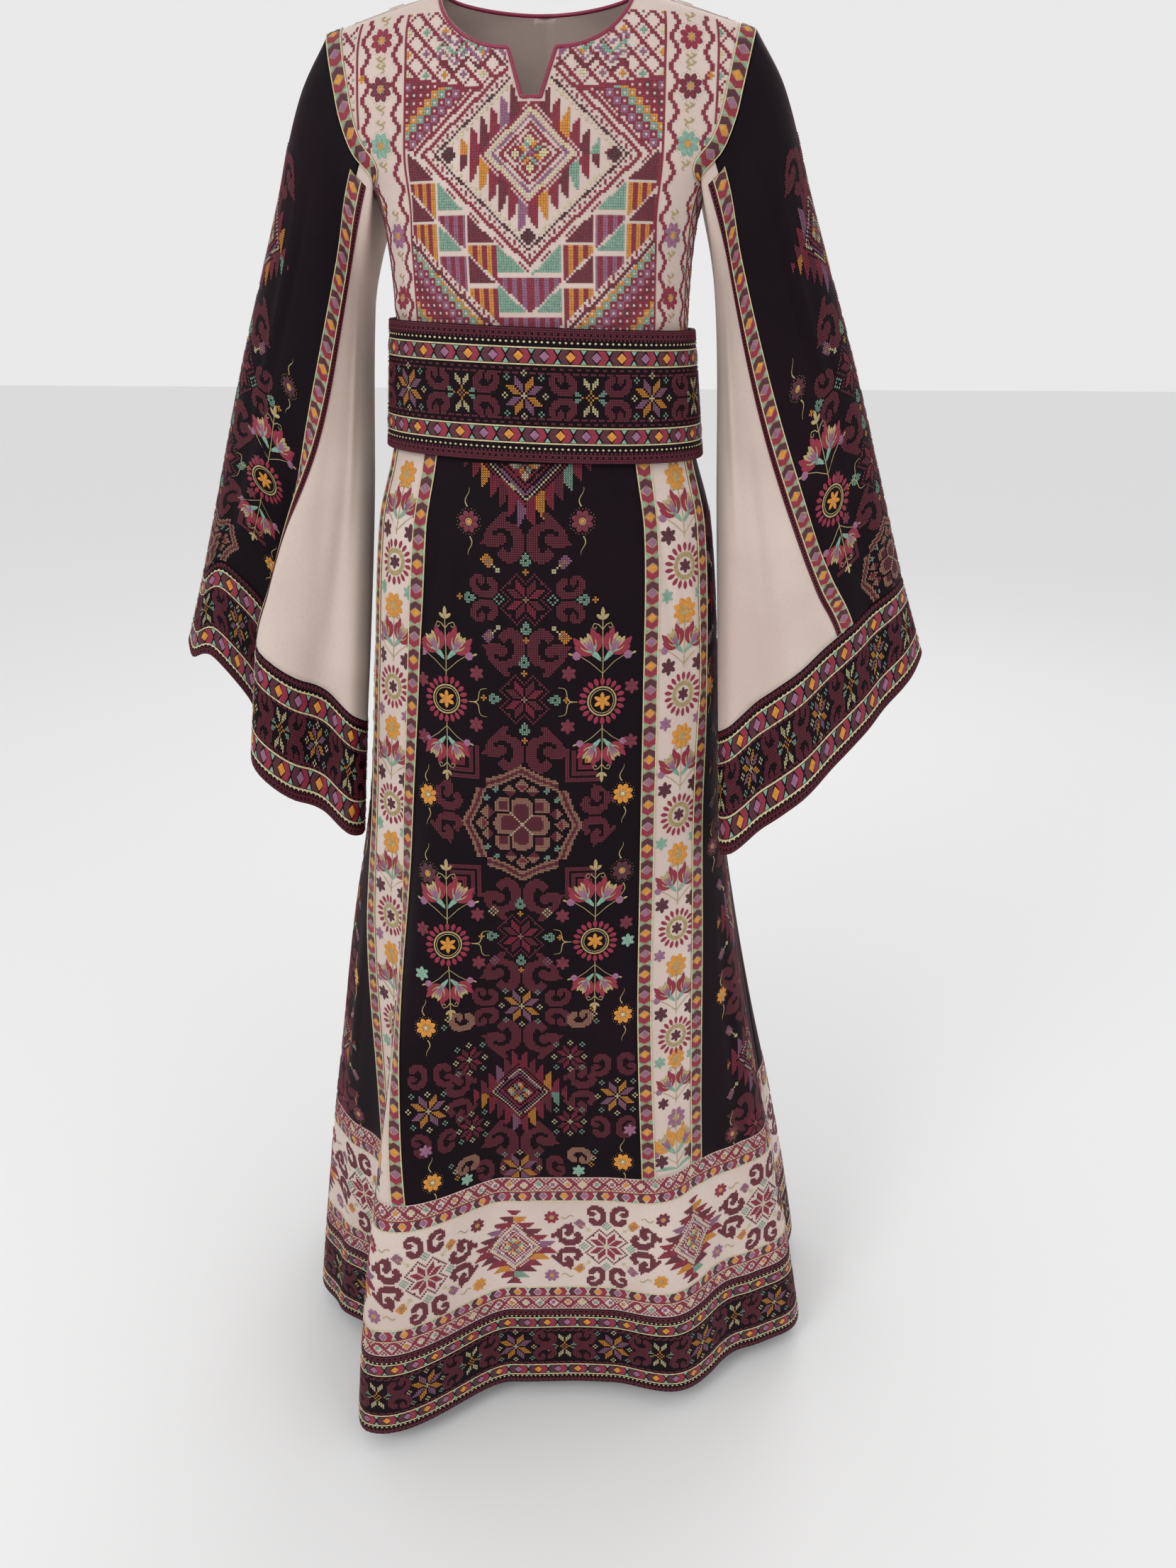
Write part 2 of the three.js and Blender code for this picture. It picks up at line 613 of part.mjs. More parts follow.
function sleevePiece(shape, name, finish, columns, from, to) {
  const form = (u, v) => sleeve(shape, u, v);
  const place = (i, row) => {
    const down = sleeveDown(row);
    const edges = [from(down), to(down)];
    const gaps = edges.map((turn) => degreesFor(form, turn, down, SLEEVE_SEAM_GAP / 2));
    let turn = sleeveColumn(shape, i, columns, edges, down);
    if (i === 0) turn += gaps[0];
    if (i === columns) turn -= gaps[1];
    return sleeveSpot(shape, turn, down);
  };
  parts.add(wall(`${name}_${shape.name}`, finish, columns, SLEEVE_ROWS, place, { out: -shape.side }));
}

function sleeveBand(shape) {
  const columns = VELVET_COLUMNS + UNDER_COLUMNS;
  const edge = sleeveSeam(shape, SLEEVE_BAND_AT);
  const place = (i, row) => {
    const down = lerp(SLEEVE_BAND_AT + SLEEVE_SEAM_GAP / 2, SLEEVE_LENGTH, row / 2);
    const turn =
      i <= UNDER_COLUMNS
        ? sleeveColumn(shape, i, UNDER_COLUMNS, [-edge, edge], down)
        : sleeveColumn(shape, i - UNDER_COLUMNS, VELVET_COLUMNS, [edge, 360 - edge], down);
    return sleeveSpot(shape, turn, down);
  };
  const settings = { out: -shape.side, ring: true };
  parts.add(wall(`sleeve_band_${shape.name}`, BURGUNDY_VELVET, columns, 2, place, settings));
}
for (const shape of SLEEVES) {
  const seam = (down) => sleeveSeam(shape, down);
  sleevePiece(shape, "sleeve_velvet", BURGUNDY_VELVET, VELVET_COLUMNS, seam, (down) => 360 - seam(down));
  sleevePiece(shape, "sleeve_panel", CREAM_CREPE, UNDER_COLUMNS, (down) => -seam(down), seam);
  sleeveBand(shape);
}

// Ribbons sewn over the seams: on the skirt's front, down the sleeves and round the armholes
const RIBBON = { lift: RIBBON_LIFT + RIBBON_CLOTH, thickness: RIBBON_CLOTH };
const SKIRT_RIBBONS = table(
  ["name", "seam"],
  ["outer_left", OUTER_LEFT],
  ["inner_left", INNER_LEFT],
  ["inner_right", INNER_RIGHT],
  ["outer_right", OUTER_RIGHT],
);
for (const { name, seam } of SKIRT_RIBBONS) {
  const place = (i, row) => {
    const z = lerp(SKIRT.low, SKIRT.high, row / SKIRT.rows);
    const reach = degreesFor(body, seam(z), z, RIBBON_WIDTH / 2);
    return tierSpot(SKIRT, seam(z) + (i - 1) * reach, row);
  };
  parts.add(wall(`skirt_ribbon_${name}`, SILK_RIBBON, 2, SKIRT.rows, place, RIBBON));
}

function sleeveRibbon(shape, face) {
  const form = (u, v) => sleeve(shape, u, v);
  const way = face === "front" ? 1 : -1;
  const place = (i, j) => {
    const down = sleeveDown(j + 1);
    const centre = way * sleeveSeam(shape, down);
    const reach = degreesFor(form, centre, down, RIBBON_WIDTH / 2);
    return sleeveSpot(shape, centre + (i - 1) * reach, down);
  };
  const name = `sleeve_ribbon_${shape.name}_${face}`;
  parts.add(wall(name, SILK_RIBBON, 2, SLEEVE_ROWS - 1, place, { ...RIBBON, out: -shape.side }));
}

function armholeRibbon(shape, face, panel) {
  const place = (i, j) => {
    const row = UNDERARM_ROW + 1 + j;
    const fromEdge = shape.side > 0 ? 1 - i : i;
    return bodiceSpot(panel, shape.side * (1 - fromEdge * armholeRibbonShare(panel, row)), row);
  };
  const name = `armhole_ribbon_${shape.name}_${face}`;
  parts.add(wall(name, SILK_RIBBON, 1, ARMHOLE_ROWS - 1, place, { ...RIBBON, out: panel.way }));
}
for (const shape of SLEEVES) {
  sleeveRibbon(shape, "front");
  sleeveRibbon(shape, "back");
  armholeRibbon(shape, "front", FRONT);
  armholeRibbon(shape, "back", BACK);
}

// Belt: one stiff band, its ends lapped at the centre of the back
const BELT_COLUMNS = 72;
const BELT_ROWS = 2;
function beltForm(turn, at) {
  const tilt = -BELT_TILT * Math.sin(radians(turn));
  const high = body(turn, BELT_TOP_Z + tilt);
  const low = body(turn, BELT_TOP_Z - BELT_HEIGHT + tilt);
  return low.lerp(high, at / BELT_HEIGHT);
}
function beltSpot(i, j) {
  const end = 180 + BELT_OVERLAP;
  const turn = lerp(-end, end, i / BELT_COLUMNS);
  const made = spot(beltForm, turn, (j / BELT_ROWS) * BELT_HEIGHT);
  const lapped = smooth((turn - 145) / 20) * (BELT_CLOTH + 1);
  made.point.addScaledVector(made.normal, lapped);
  return made;
}
const BELT = { lift: BELT_CLEAR + BELT_CLOTH, thickness: BELT_CLOTH };
parts.add(wall("belt", BURGUNDY_VELVET, BELT_COLUMNS, BELT_ROWS, beltSpot, BELT));

export default parts;
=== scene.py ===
# An embroidered thobe with its own belt, worn on nobody, in cream crepe and burgundy velvet.
# Lengths of the garment are in millimetres until a mesh is made, the rest is in metres. Its front faces -Y.
import json
import math

import bpy
import numpy as np
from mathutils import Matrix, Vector

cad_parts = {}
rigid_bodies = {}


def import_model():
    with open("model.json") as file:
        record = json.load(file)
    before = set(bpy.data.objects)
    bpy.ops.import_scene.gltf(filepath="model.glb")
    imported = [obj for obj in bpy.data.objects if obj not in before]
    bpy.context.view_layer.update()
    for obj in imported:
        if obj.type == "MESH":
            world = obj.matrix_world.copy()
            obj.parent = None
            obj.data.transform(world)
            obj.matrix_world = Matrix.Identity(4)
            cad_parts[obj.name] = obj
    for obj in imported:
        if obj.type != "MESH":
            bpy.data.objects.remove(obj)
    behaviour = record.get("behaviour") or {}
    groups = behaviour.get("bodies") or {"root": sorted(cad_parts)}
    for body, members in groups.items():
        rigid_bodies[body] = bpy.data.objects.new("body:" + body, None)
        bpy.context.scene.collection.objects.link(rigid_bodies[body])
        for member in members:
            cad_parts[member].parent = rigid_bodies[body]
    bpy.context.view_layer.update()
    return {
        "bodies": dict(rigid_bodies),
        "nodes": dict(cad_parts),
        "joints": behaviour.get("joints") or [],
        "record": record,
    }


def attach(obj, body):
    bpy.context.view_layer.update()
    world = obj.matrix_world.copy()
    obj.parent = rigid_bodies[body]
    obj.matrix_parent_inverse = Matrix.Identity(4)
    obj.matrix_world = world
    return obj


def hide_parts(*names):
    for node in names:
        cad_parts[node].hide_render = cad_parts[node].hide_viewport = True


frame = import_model()

# Camera
# It stands 1.2 m before the dress, a little to its left, at the height of the upper chest, and looks down.
CAMERA_PLACE = (0.1254, -1.1934, -0.24)
CAMERA_HEADING = 4.0  # degrees, to the left of straight ahead
CAMERA_PITCH = 22.8  # degrees, downwards
FOCAL_PIXELS = 1664
FRAME_PIXELS = 2212  # the long side of the picture

camera = bpy.data.objects.new("camera", bpy.data.cameras.new("camera"))
bpy.context.scene.collection.objects.link(camera)
bpy.context.scene.camera = camera
camera.data.lens = camera.data.sensor_width * FOCAL_PIXELS / FRAME_PIXELS
camera.data.clip_end = 30
bpy.context.scene.view_settings.view_transform = "Standard"
camera.location = CAMERA_PLACE
heading, pitch = math.radians(CAMERA_HEADING), math.radians(CAMERA_PITCH)
level = math.cos(pitch)
looking = Vector((-math.sin(heading) * level, math.cos(heading) * level, -math.sin(pitch)))
camera.rotation_euler = looking.to_track_quat("-Z", "Y").to_euler()


# The skirt's cloth
# Four panels of velvet and two strips of cream crepe hang from a seam at the waist down to the border. The
# form below is the worn dress: its sections, read on smooth curves, and the folds that hang between them.
DRESS_LENGTH = 1425
WAIST_Z = -330
BORDER_TOP_Z = -1137
BAND_TOP_Z = -1318
CLOTH = 1.3  # thickness of velvet and crepe
SEAM = 0.3
SIDE_SEAM = 96  # degrees from the centre front
SHOULDER_SLOPE = 0.29
NECK_HALF_WIDTH = 83
NECK_Z = -4
BOXINESS = 0.72


def table(columns, *rows):
    return dict(zip(columns.split(), np.array(rows, float).T))


WIDTHS = table(
    "z left right",
    (0, 214, 214),
    (-40, 212, 212),
    (-90, 203, 203),
    (-130, 180, 180),
    (-162, 150, 150),
    (-200, 140, 140),
    (-271, 136, 136),
    (-330, 137, 137),
    (-385, 146, 146),
    (-450, 164, 164),
    (-600, 179, 178),
    (-750, 194, 187),
    (-900, 220, 207),
    (-1050, 240, 232),
    (-1170, 256, 256),
    (-1300, 272, 281),
    (-DRESS_LENGTH, 288, 303),
)
DEPTHS = table(
    "z front back",
    (0, 0, 0),
    (-4, 17, 16),
    (-12, 30, 28),
    (-30, 46, 48),
    (-60, 60, 66),
    (-100, 76, 82),
    (-150, 98, 92),
    (-200, 111, 94),
    (-271, 104, 84),
    (-330, 101, 82),
    (-385, 108, 92),
    (-450, 118, 106),
    (-600, 134, 124),
    (-750, 149, 140),
    (-1000, 167, 163),
    (-1200, 183, 182),
    (-DRESS_LENGTH, 197, 200),
)
SKIRT_FOLDS = (
    # turn, before, after, out at the hem, height where it starts
    (-31, 15, 25, 104, -600),
    (-54, 13, 12, -12, -800),
    (8, 18, 16, -6, -900),
    (31, 15, 15, 20, -850),
    (51, 11, 11, -9, -800),
    (74, 15, 17, 18, -650),
    (108, 17, 14, 27, -520),
    (130, 12, 13, -12, -700),
    (152, 14, 16, 34, -480),
    (178, 15, 13, -10, -760),
    (202, 14, 18, 29, -560),
    (229, 13, 12, -13, -640),
    (250, 14, 17, 31, -500),
    (279, 16, 13, 15, -700),
)
SKIRT_SEAMS = table(
    "z outer_left inner_left inner_right outer_right",
    (-330, -73, -42, 43, 74),
    (-450, -71, -42, 41, 69),
    (-600, -69, -43, 38, 64),
    (-750, -66, -43, 36, 59),
    (-950, -55, -35, 31, 51),
    (BORDER_TOP_Z, -45, -28, 28, 44),
)
# Creases finer than the folds: turn and height of the middle, half width in degrees, half length, depth,
# and how many degrees the crease leans over its length
SKIRT_CREASES = (
    (-36, -470, 5, 110, -3.2, 5),
    (-25, -520, 4, 150, -2.4, 3),
    (-12, -560, 4, 120, 1.6, -2),
    (14, -500, 4, 120, -1.8, 3),
    (27, -620, 5, 200, -2.6, -3),
    (46, -480, 4, 110, -2.6, -5),
    (60, -560, 5, 170, 2.4, -4),
    (-58, -520, 5, 150, 2.6, 4),
    (-50, -760, 4, 190, -3.0, 6),
    (-18, -900, 5, 200, -2.8, -6),
    (20, -980, 5, 180, 2.0, 4),
    (-5, -1120, 6, 160, 2.4, 3),
    (88, -640, 4, 230, -3.4, 2),
    (-84, -600, 5, 220, -3.4, -3),
    (118, -560, 4, 190, -3.0, 3),
    (140, -620, 5, 230, 3.0, -4),
    (164, -540, 4, 180, -3.2, 4),
    (-171, -680, 5, 240, 3.0, -3),
    (-144, -560, 4, 190, -3.4, 3),
    (-121, -640, 5, 230, 2.8, -4),
    (-101, -700, 4, 250, -3.0, 3),
    (66, -1000, 4, 200, -3.0, 4),
    (42, -1180, 5, 150, -2.4, -3),
    (-68, -1040, 5, 220, 3.0, 5),
    (98, -1060, 5, 220, 3.2, -3),
    (127, -1020, 4, 240, -3.0, 3),
    (172, -1080, 5, 230, -3.0, 4),
    (-157, -1040, 5, 240, 3.0, -4),
    (-128, -1090, 4, 220, -3.2, 3),
    (-110, -1120, 5, 200, 2.8, 3),
)
# Drag creases of the bodice, in the same columns
BODICE_CREASES = (
    (-66, -255, 16, 11, 2.2, 0),
    (-60, -290, 20, 9, -2.2, 0),
    (63, -262, 16, 10, 2.0, 0),
    (58, -300, 18, 9, -1.8, 0),
    (-52, -190, 7, 60, -1.8, 14),
    (50, -186, 7, 60, -1.8, -14),
    (0, -300, 26, 8, 0.9, 0),
    (118, -250, 20, 11, 2.4, 0),
    (-118, -262, 20, 11, 2.4, 0),
    (150, -296, 24, 9, -2.2, 0),
    (-150, -290, 22, 10, 2.0, 0),
    (180, -120, 20, 26, -1.8, 0),
    (126, -150, 8, 60, -2.2, -16),
    (-126, -150, 8, 60, -2.2, 16),
)


def smooth(share):
    t = np.clip(share, 0, 1)
    return t * t * (3 - 2 * t)


def hump(distance, width):
    return np.cos(np.minimum(np.abs(distance) / width, 1) * math.pi / 2) ** 2


def read(rows, column, at):
    """A column of a table, on a smooth curve through its rows."""
    keys, values = next(iter(rows.values())), rows[column]
    if keys[-1] < keys[0]:
        keys, at = -keys, -np.asarray(at, float)
    low = np.clip(np.searchsorted(keys, at) - 1, 0, len(keys) - 2)
    place = np.arange(len(keys))
    before, after = np.maximum(place - 1, 0), np.minimum(place + 1, len(keys) - 1)
    slope = (values[after] - values[before]) / (keys[after] - keys[before])
    span = keys[low + 1] - keys[low]
    t = np.clip((at - keys[low]) / span, 0, 1)
    straight = (values[low + 1] - values[low]) / span
    bend = t * (1 - t) * span
    eased = bend * ((1 - t) * (slope[low] - straight) - t * (slope[low + 1] - straight))
    return values[low] + (values[low + 1] - values[low]) * t + eased


def around(turn, middle):
    return np.mod(turn - middle + 180, 360) - 180


def folded(turn, z):
    """How far folds and creases stand out from the dress's sections."""
    out = np.zeros(np.broadcast(turn, z).shape)
    for middle, before, after, height, start in SKIRT_FOLDS:
        off = around(turn, middle)
        ridge = hump(off, np.where(off < 0, before, after))
        out += height * smooth((start - z) / (start + DRESS_LENGTH)) * ridge
    for middle, level, width, length, height, lean in SKIRT_CREASES + BODICE_CREASES:
        off = around(turn, middle + lean * (z - level) / length)
        out += height * hump(off, width) * hump(z - level, length)
    return out


def shoulder_line(x):
    return NECK_Z - SHOULDER_SLOPE * (np.abs(x) - NECK_HALF_WIDTH)


def half_width(z, side):
    return np.where(side < 0, read(WIDTHS, "left", z), read(WIDTHS, "right", z))


def body(turn, z):
    """Points of the worn dress: degrees round it from its centre front, and height."""
    turn, z = np.broadcast_arrays(np.asarray(turn, float), np.asarray(z, float))
    sine, cosine = np.sin(np.radians(turn)), np.cos(np.radians(turn))
    half = half_width(z, sine)
    x = half * sine
    level = np.minimum(z - shoulder_line(x) * smooth((z + 165) / 105), 0)
    depth = np.where(cosine > 0, read(DEPTHS, "front", level), read(DEPTHS, "back", level))
    y = -np.sign(cosine) * depth * np.abs(cosine) ** BOXINESS
    reach = folded(turn, z) / np.maximum(np.hypot(depth * sine, half * cosine), 1e-6)
    return np.stack([x + depth * sine * reach, y - half * cosine * reach, z], axis=-1)


def grid_normals(points):
    across, down = np.gradient(points, axis=1), np.gradient(points, axis=0)
    normals = np.cross(down, across)
    return normals / np.maximum(np.linalg.norm(normals, axis=-1, keepdims=True), 1e-9)


def lengths(points, axis):
    """Length of cloth from the first row or column of a grid of points."""
    steps = np.linalg.norm(np.diff(points, axis=axis), axis=-1)
    return np.cumsum(np.concatenate([np.zeros_like(np.take(steps, [0], axis)), steps], axis), axis)


def new_mesh(name, vertices, faces, material, uv=None, slots=None, smooth_faces=True):
    """A mesh from arrays: vertices in millimetres and faces of three or four corners."""
    mesh = bpy.data.meshes.new(name)
    faces = np.asarray(faces)
    mesh.vertices.add(len(vertices))
    mesh.vertices.foreach_set("co", (np.asarray(vertices, float) / 1000).ravel())
    mesh.loops.add(faces.size)
    mesh.loops.foreach_set("vertex_index", faces.ravel())
    mesh.polygons.add(len(faces))
    mesh.polygons.foreach_set("loop_start", np.arange(len(faces)) * faces.shape[1])
    mesh.update(calc_edges=True)
    mesh.polygons.foreach_set("use_smooth", np.full(len(faces), smooth_faces))
    if uv is not None:
        layer = mesh.uv_layers.new(name="cloth")
        layer.data.foreach_set("uv", (np.asarray(uv)[faces.ravel()] / 1000).ravel())
    for made in material if isinstance(material, (list, tuple)) else [material]:
        mesh.materials.append(made)
    if slots is not None:
        mesh.polygons.foreach_set("material_index", np.asarray(slots, dtype=np.int32))
    mesh.validate()
    piece = bpy.data.objects.new(name, mesh)
    bpy.context.scene.collection.objects.link(piece)
    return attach(piece, "root")


def quads(row, column, next_row, next_column, across):
    """Four corners of each square of a grid that has so many points across."""
    upper, lower = row * across, next_row * across
    return np.stack([upper + column, lower + column, lower + next_column, upper + next_column], -1)


def cloth_sheet(name, points, material, nodes, slot, ring=False, hole=None, thickness=CLOTH):
    """A shell of cloth over a grid of points, rows downwards and columns to the right seen from outside."""
    down, across = points.shape[:2]
    u = lengths(points, 1)
    u -= u[:, [across // 2]]
    v = -lengths(points, 0)
    j, i = np.mgrid[0 : down - 1, 0 : across if ring else across - 1]
    beside = (i + 1) % across
    faces = quads(j, i, j + 1, beside, across)
    if hole is not None:
        faces = faces[~hole(j, i)]
    faces = faces.reshape(-1, 4)
    used, faces = np.unique(faces, return_inverse=True)
    faces = faces.reshape(-1, 4)
    uv = np.stack([u.ravel(), v.ravel()], -1)[used]
    vertices = points.reshape(-1, 3)[used]
    piece = new_mesh(name, vertices, faces, material, uv)
    wall = piece.modifiers.new("wall", "SOLIDIFY")
    wall.thickness = thickness / 1000
    wall.offset = -1
    corners = vertices[faces]
    diagonals = np.cross(corners[:, 2] - corners[:, 0], corners[:, 3] - corners[:, 1])
    flat = (np.ptp(u, axis=1).max() / 1000, np.ptp(v, axis=0).max() / 1000)
    if nodes:
        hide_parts(*nodes)


class Socket:
    """A node's socket, so that shader maths is written as plain expressions."""

    def __init__(self, tree, socket):
        self.tree, self.socket = tree, socket

    def math(self, operation, *others):
        return self.tree.node("ShaderNodeMath", {"operation": operation}, (self, *others))

    def __add__(self, other):
        return self.math("ADD", other)

    def __sub__(self, other):
        return self.math("SUBTRACT", other)

    def __rsub__(self, other):
        return self.tree.node("ShaderNodeMath", {"operation": "SUBTRACT"}, (other, self))

    def __mul__(self, other):
        return self.math("MULTIPLY", other)

    def clear(self, low, high):
        values = {"Value": self, "From Min": low, "From Max": high}
        return self.tree.node("ShaderNodeMapRange", {"interpolation_type": "SMOOTHSTEP"}, values)

    __radd__, __rmul__ = __add__, __mul__


class Finish:
    """A material with one Principled shader: constants on its own sockets, links for what varies."""

    def __init__(self, name, **constants):
        self.material = bpy.data.materials.new(name)
        self.material.use_nodes = True
        self.shader = self.material.node_tree.nodes["Principled BSDF"]
        for socket, value in constants.items():
            self.shader.inputs[socket.replace("_", " ").title().replace("Ior", "IOR")].default_value = value

    def node(self, kind, settings=None, values=(), output=0):
        made = self.material.node_tree.nodes.new(kind)
        for setting, value in (settings or {}).items():
            setattr(made, setting, value)
        for socket, value in values.items() if isinstance(values, dict) else enumerate(values):
            if isinstance(value, Socket):
                self.material.node_tree.links.new(value.socket, made.inputs[socket])
            elif value is not None:
                made.inputs[socket].default_value = value
        return Socket(self, made.outputs[output])

    def uv(self, down, turn=0.0):
        place = self.node("ShaderNodeUVMap", {"uv_map": "cloth"})
        values = {0: place, "Scale": (1, down, 1), "Rotation": (0, 0, turn)}
        return self.node("ShaderNodeMapping", None, values)

    def spots(self, scale, detail, place=None):
        place = place or self.node("ShaderNodeTexCoord", output=3)
        values = {"Vector": place, "Scale": scale, "Detail": detail}
        return self.node("ShaderNodeTexNoise", None, values)

    def mix(self, share, first, second):
        settings = {"data_type": "RGBA"}
        return self.node("ShaderNodeMix", settings, {0: share, 6: first, 7: second}, output=2)

    def feed(self, socket, value):
        self.material.node_tree.links.new(value.socket, self.shader.inputs[socket])

    def relief(self, height, depth, strength):
        values = {"Height": height, "Distance": depth, "Strength": strength}
        self.feed("Normal", self.node("ShaderNodeBump", None, values))


def paint(code, share=1.0):
    """A colour from its sRGB code, lighter or darker by a share."""
    shades = [int(code[k : k + 2], 16) / 255 for k in (1, 3, 5)]
    return (*[share * (s / 12.92 if s < 0.04045 else ((s + 0.055) / 1.055) ** 2.4) for s in shades], 1)


def velvet_finish():
    """Short silk pile: nearly black where seen straight, plum where it is brushed or turns away."""
    made = Finish(
        "burgundy_velvet",
        roughness=0.62,
        specular_ior_level=0.12,
        sheen_weight=0.22,
        sheen_roughness=0.3,
        sheen_tint=paint("#8a2148"),
    )
    brushed = made.spots(9.0, 5.0) * 0.7 + made.spots(52.0, 4.0) * 0.3
    pile = made.spots(2600.0, 2.0)
    shade = made.mix(brushed.clear(0.42, 0.68), paint("#070207"), paint("#150510"))
    made.feed("Base Color", made.mix(pile.clear(0.35, 0.75) * 0.5, shade, paint("#1e0813")))
    made.feed("Roughness", brushed * 0.25 + 0.55)
    made.relief(brushed * 0.8 + pile * 0.2, 0.0012, 0.5)
    return made.material


def crepe_finish():
    """Matt crepe of fine twisted yarn, pinkish beige, with a faint slub and soft shade."""
    made = Finish(
        "cream_crepe", roughness=0.78, specular_ior_level=0.25, sheen_weight=0.25, sheen_roughness=0.5
    )
    yarn = made.node("ShaderNodeTexWave", {"wave_type": "BANDS"}, {0: made.uv(0.12, 0.5), "Scale": 520.0})
    slub = made.spots(900.0, 2.0, made.uv(0.25))
    tone = made.spots(7.0, 3.0)
    shade = made.mix(tone.clear(0.35, 0.7), paint("#c9b5ab"), paint("#d6c4ba"))
    made.feed("Base Color", made.mix(slub.clear(0.5, 0.8) * 0.35, shade, paint("#b79f95")))
    made.feed("Roughness", slub * 0.2 + 0.68)
    made.relief(yarn * 0.5 + slub * 0.5, 0.0003, 0.55)
    return made.material


velvet = velvet_finish()
crepe = crepe_finish()


def tier(left, right, high, low, columns, rows):
    """Points of a panel of the dress between two seams and two heights, with half a seam's gap round it."""
    z = np.linspace(high - SEAM / 2, low + SEAM / 2, rows + 1)[:, None]
    share = np.linspace(0, 1, columns + 1)[None, :]
    ends = [seam(z) if callable(seam) else seam for seam in (left, right)]
    return body(ends[0] + 0.07 + (ends[1] - ends[0] - 0.14) * share, z)


def seam_at(column):
    return lambda z: read(SKIRT_SEAMS, column, z)


def seam_down(column):
    return lambda down: read(SKIRT_SEAMS, column, -down)


SKIRT_PANELS = (
    # name, left and right seam, finish, its slot, columns
    ("skirt_front", seam_at("inner_left"), seam_at("inner_right"), velvet, "burgundy_velvet", 72),
    ("skirt_strip_left", seam_at("outer_left"), seam_at("inner_left"), crepe, "cream_crepe", 24),
    ("skirt_strip_right", seam_at("inner_right"), seam_at("outer_right"), crepe, "cream_crepe", 22),
    ("skirt_side_left", -SIDE_SEAM, seam_at("outer_left"), velvet, "burgundy_velvet", 30),
    ("skirt_side_right", seam_at("outer_right"), SIDE_SEAM, velvet, "burgundy_velvet", 30),
    ("skirt_back", SIDE_SEAM, 360 - SIDE_SEAM, velvet, "burgundy_velvet", 120),
)
for name, left, right, finish, slot, columns in SKIRT_PANELS:
    points = tier(left, right, WAIST_Z, BORDER_TOP_Z, columns, 110)
    cloth_sheet(f"{name}_cloth", points, finish, [name], slot)


# The hem
# A border of cream crepe and below it a band of velvet go round the hem, each in two lengths that meet at
# the side seams.
for part, high, low, finish, slot, rows in (
    ("hem_border", BORDER_TOP_Z, BAND_TOP_Z, crepe, "cream_crepe", 28),
    ("hem_band", BAND_TOP_Z, -DRESS_LENGTH, velvet, "burgundy_velvet", 18),
):
    for face, left, right, columns in (
        ("front", -SIDE_SEAM, SIDE_SEAM, 190),
        ("back", SIDE_SEAM, 360 - SIDE_SEAM, 150),
    ):
        points = tier(left, right, high, low, columns, rows)
        cloth_sheet(f"{part}_{face}_cloth", points, finish, [f"{part}_{face}"], slot)


# The bodice
# Front and back are cut in one width each from cream crepe, joined at the shoulders and sides. The front has
# a slit below the round neck, and both edges of the armholes run from the underarm to the shoulder tip.
SHOULDER_HALF_WIDTH = 187
NECK_FRONT_Z = -56
NECK_BACK_Z = -14
SLIT_BOTTOM_Z = -94
SLIT_TOP_HALF = 20
SLIT_BOTTOM_HALF = 8
UNDERARM_Z = -162
UNDERARM_ROW = 5
BODICE_ROWS = 17
SLIT_TOP_ROW = 10
CORE_SHARE = 1 / 12
FINER = 6  # rows of this shell to one of those above
ARMHOLE = table(
    "share x z",
    (0, 150, UNDERARM_Z),
    (0.15, 143, -151),
    (0.3, 160, -132),
    (0.5, 171, -106),
    (0.7, 177, -80),
    (0.85, 182, -57),
    (1, SHOULDER_HALF_WIDTH, NECK_Z - SHOULDER_SLOPE * (SHOULDER_HALF_WIDTH - NECK_HALF_WIDTH)),
)


def turn_at(x, z):
    return np.degrees(np.arcsin(np.clip(x / half_width(z, x), -1, 1)))


def armhole_edge(share):
    z = read(ARMHOLE, "z", share)
    return np.where(share <= 0, 90.0, turn_at(read(ARMHOLE, "x", share), z)), z


def neck_edge(row, front):
    """x and height of the edge of neck and slit on a row of the bodice."""
    bottom, start = (NECK_FRONT_Z, SLIT_TOP_HALF) if front else (NECK_BACK_Z, SLIT_BOTTOM_HALF)
    turn = np.radians(np.clip((row - SLIT_TOP_ROW) / (BODICE_ROWS - SLIT_TOP_ROW), 0, 1) * 90)
    x = start + (NECK_HALF_WIDTH - start) * np.sin(turn)
    z = bottom + (NECK_Z - bottom) * (1 - np.cos(turn))
    if front:
        share = (row - 7) / (SLIT_TOP_ROW - 7)
        below = row < SLIT_TOP_ROW
        x = np.where(below, SLIT_BOTTOM_HALF + (SLIT_TOP_HALF - SLIT_BOTTOM_HALF) * share, x)
        z = np.where(below, SLIT_BOTTOM_Z + (NECK_FRONT_Z - SLIT_BOTTOM_Z) * share, z)
    return x, z


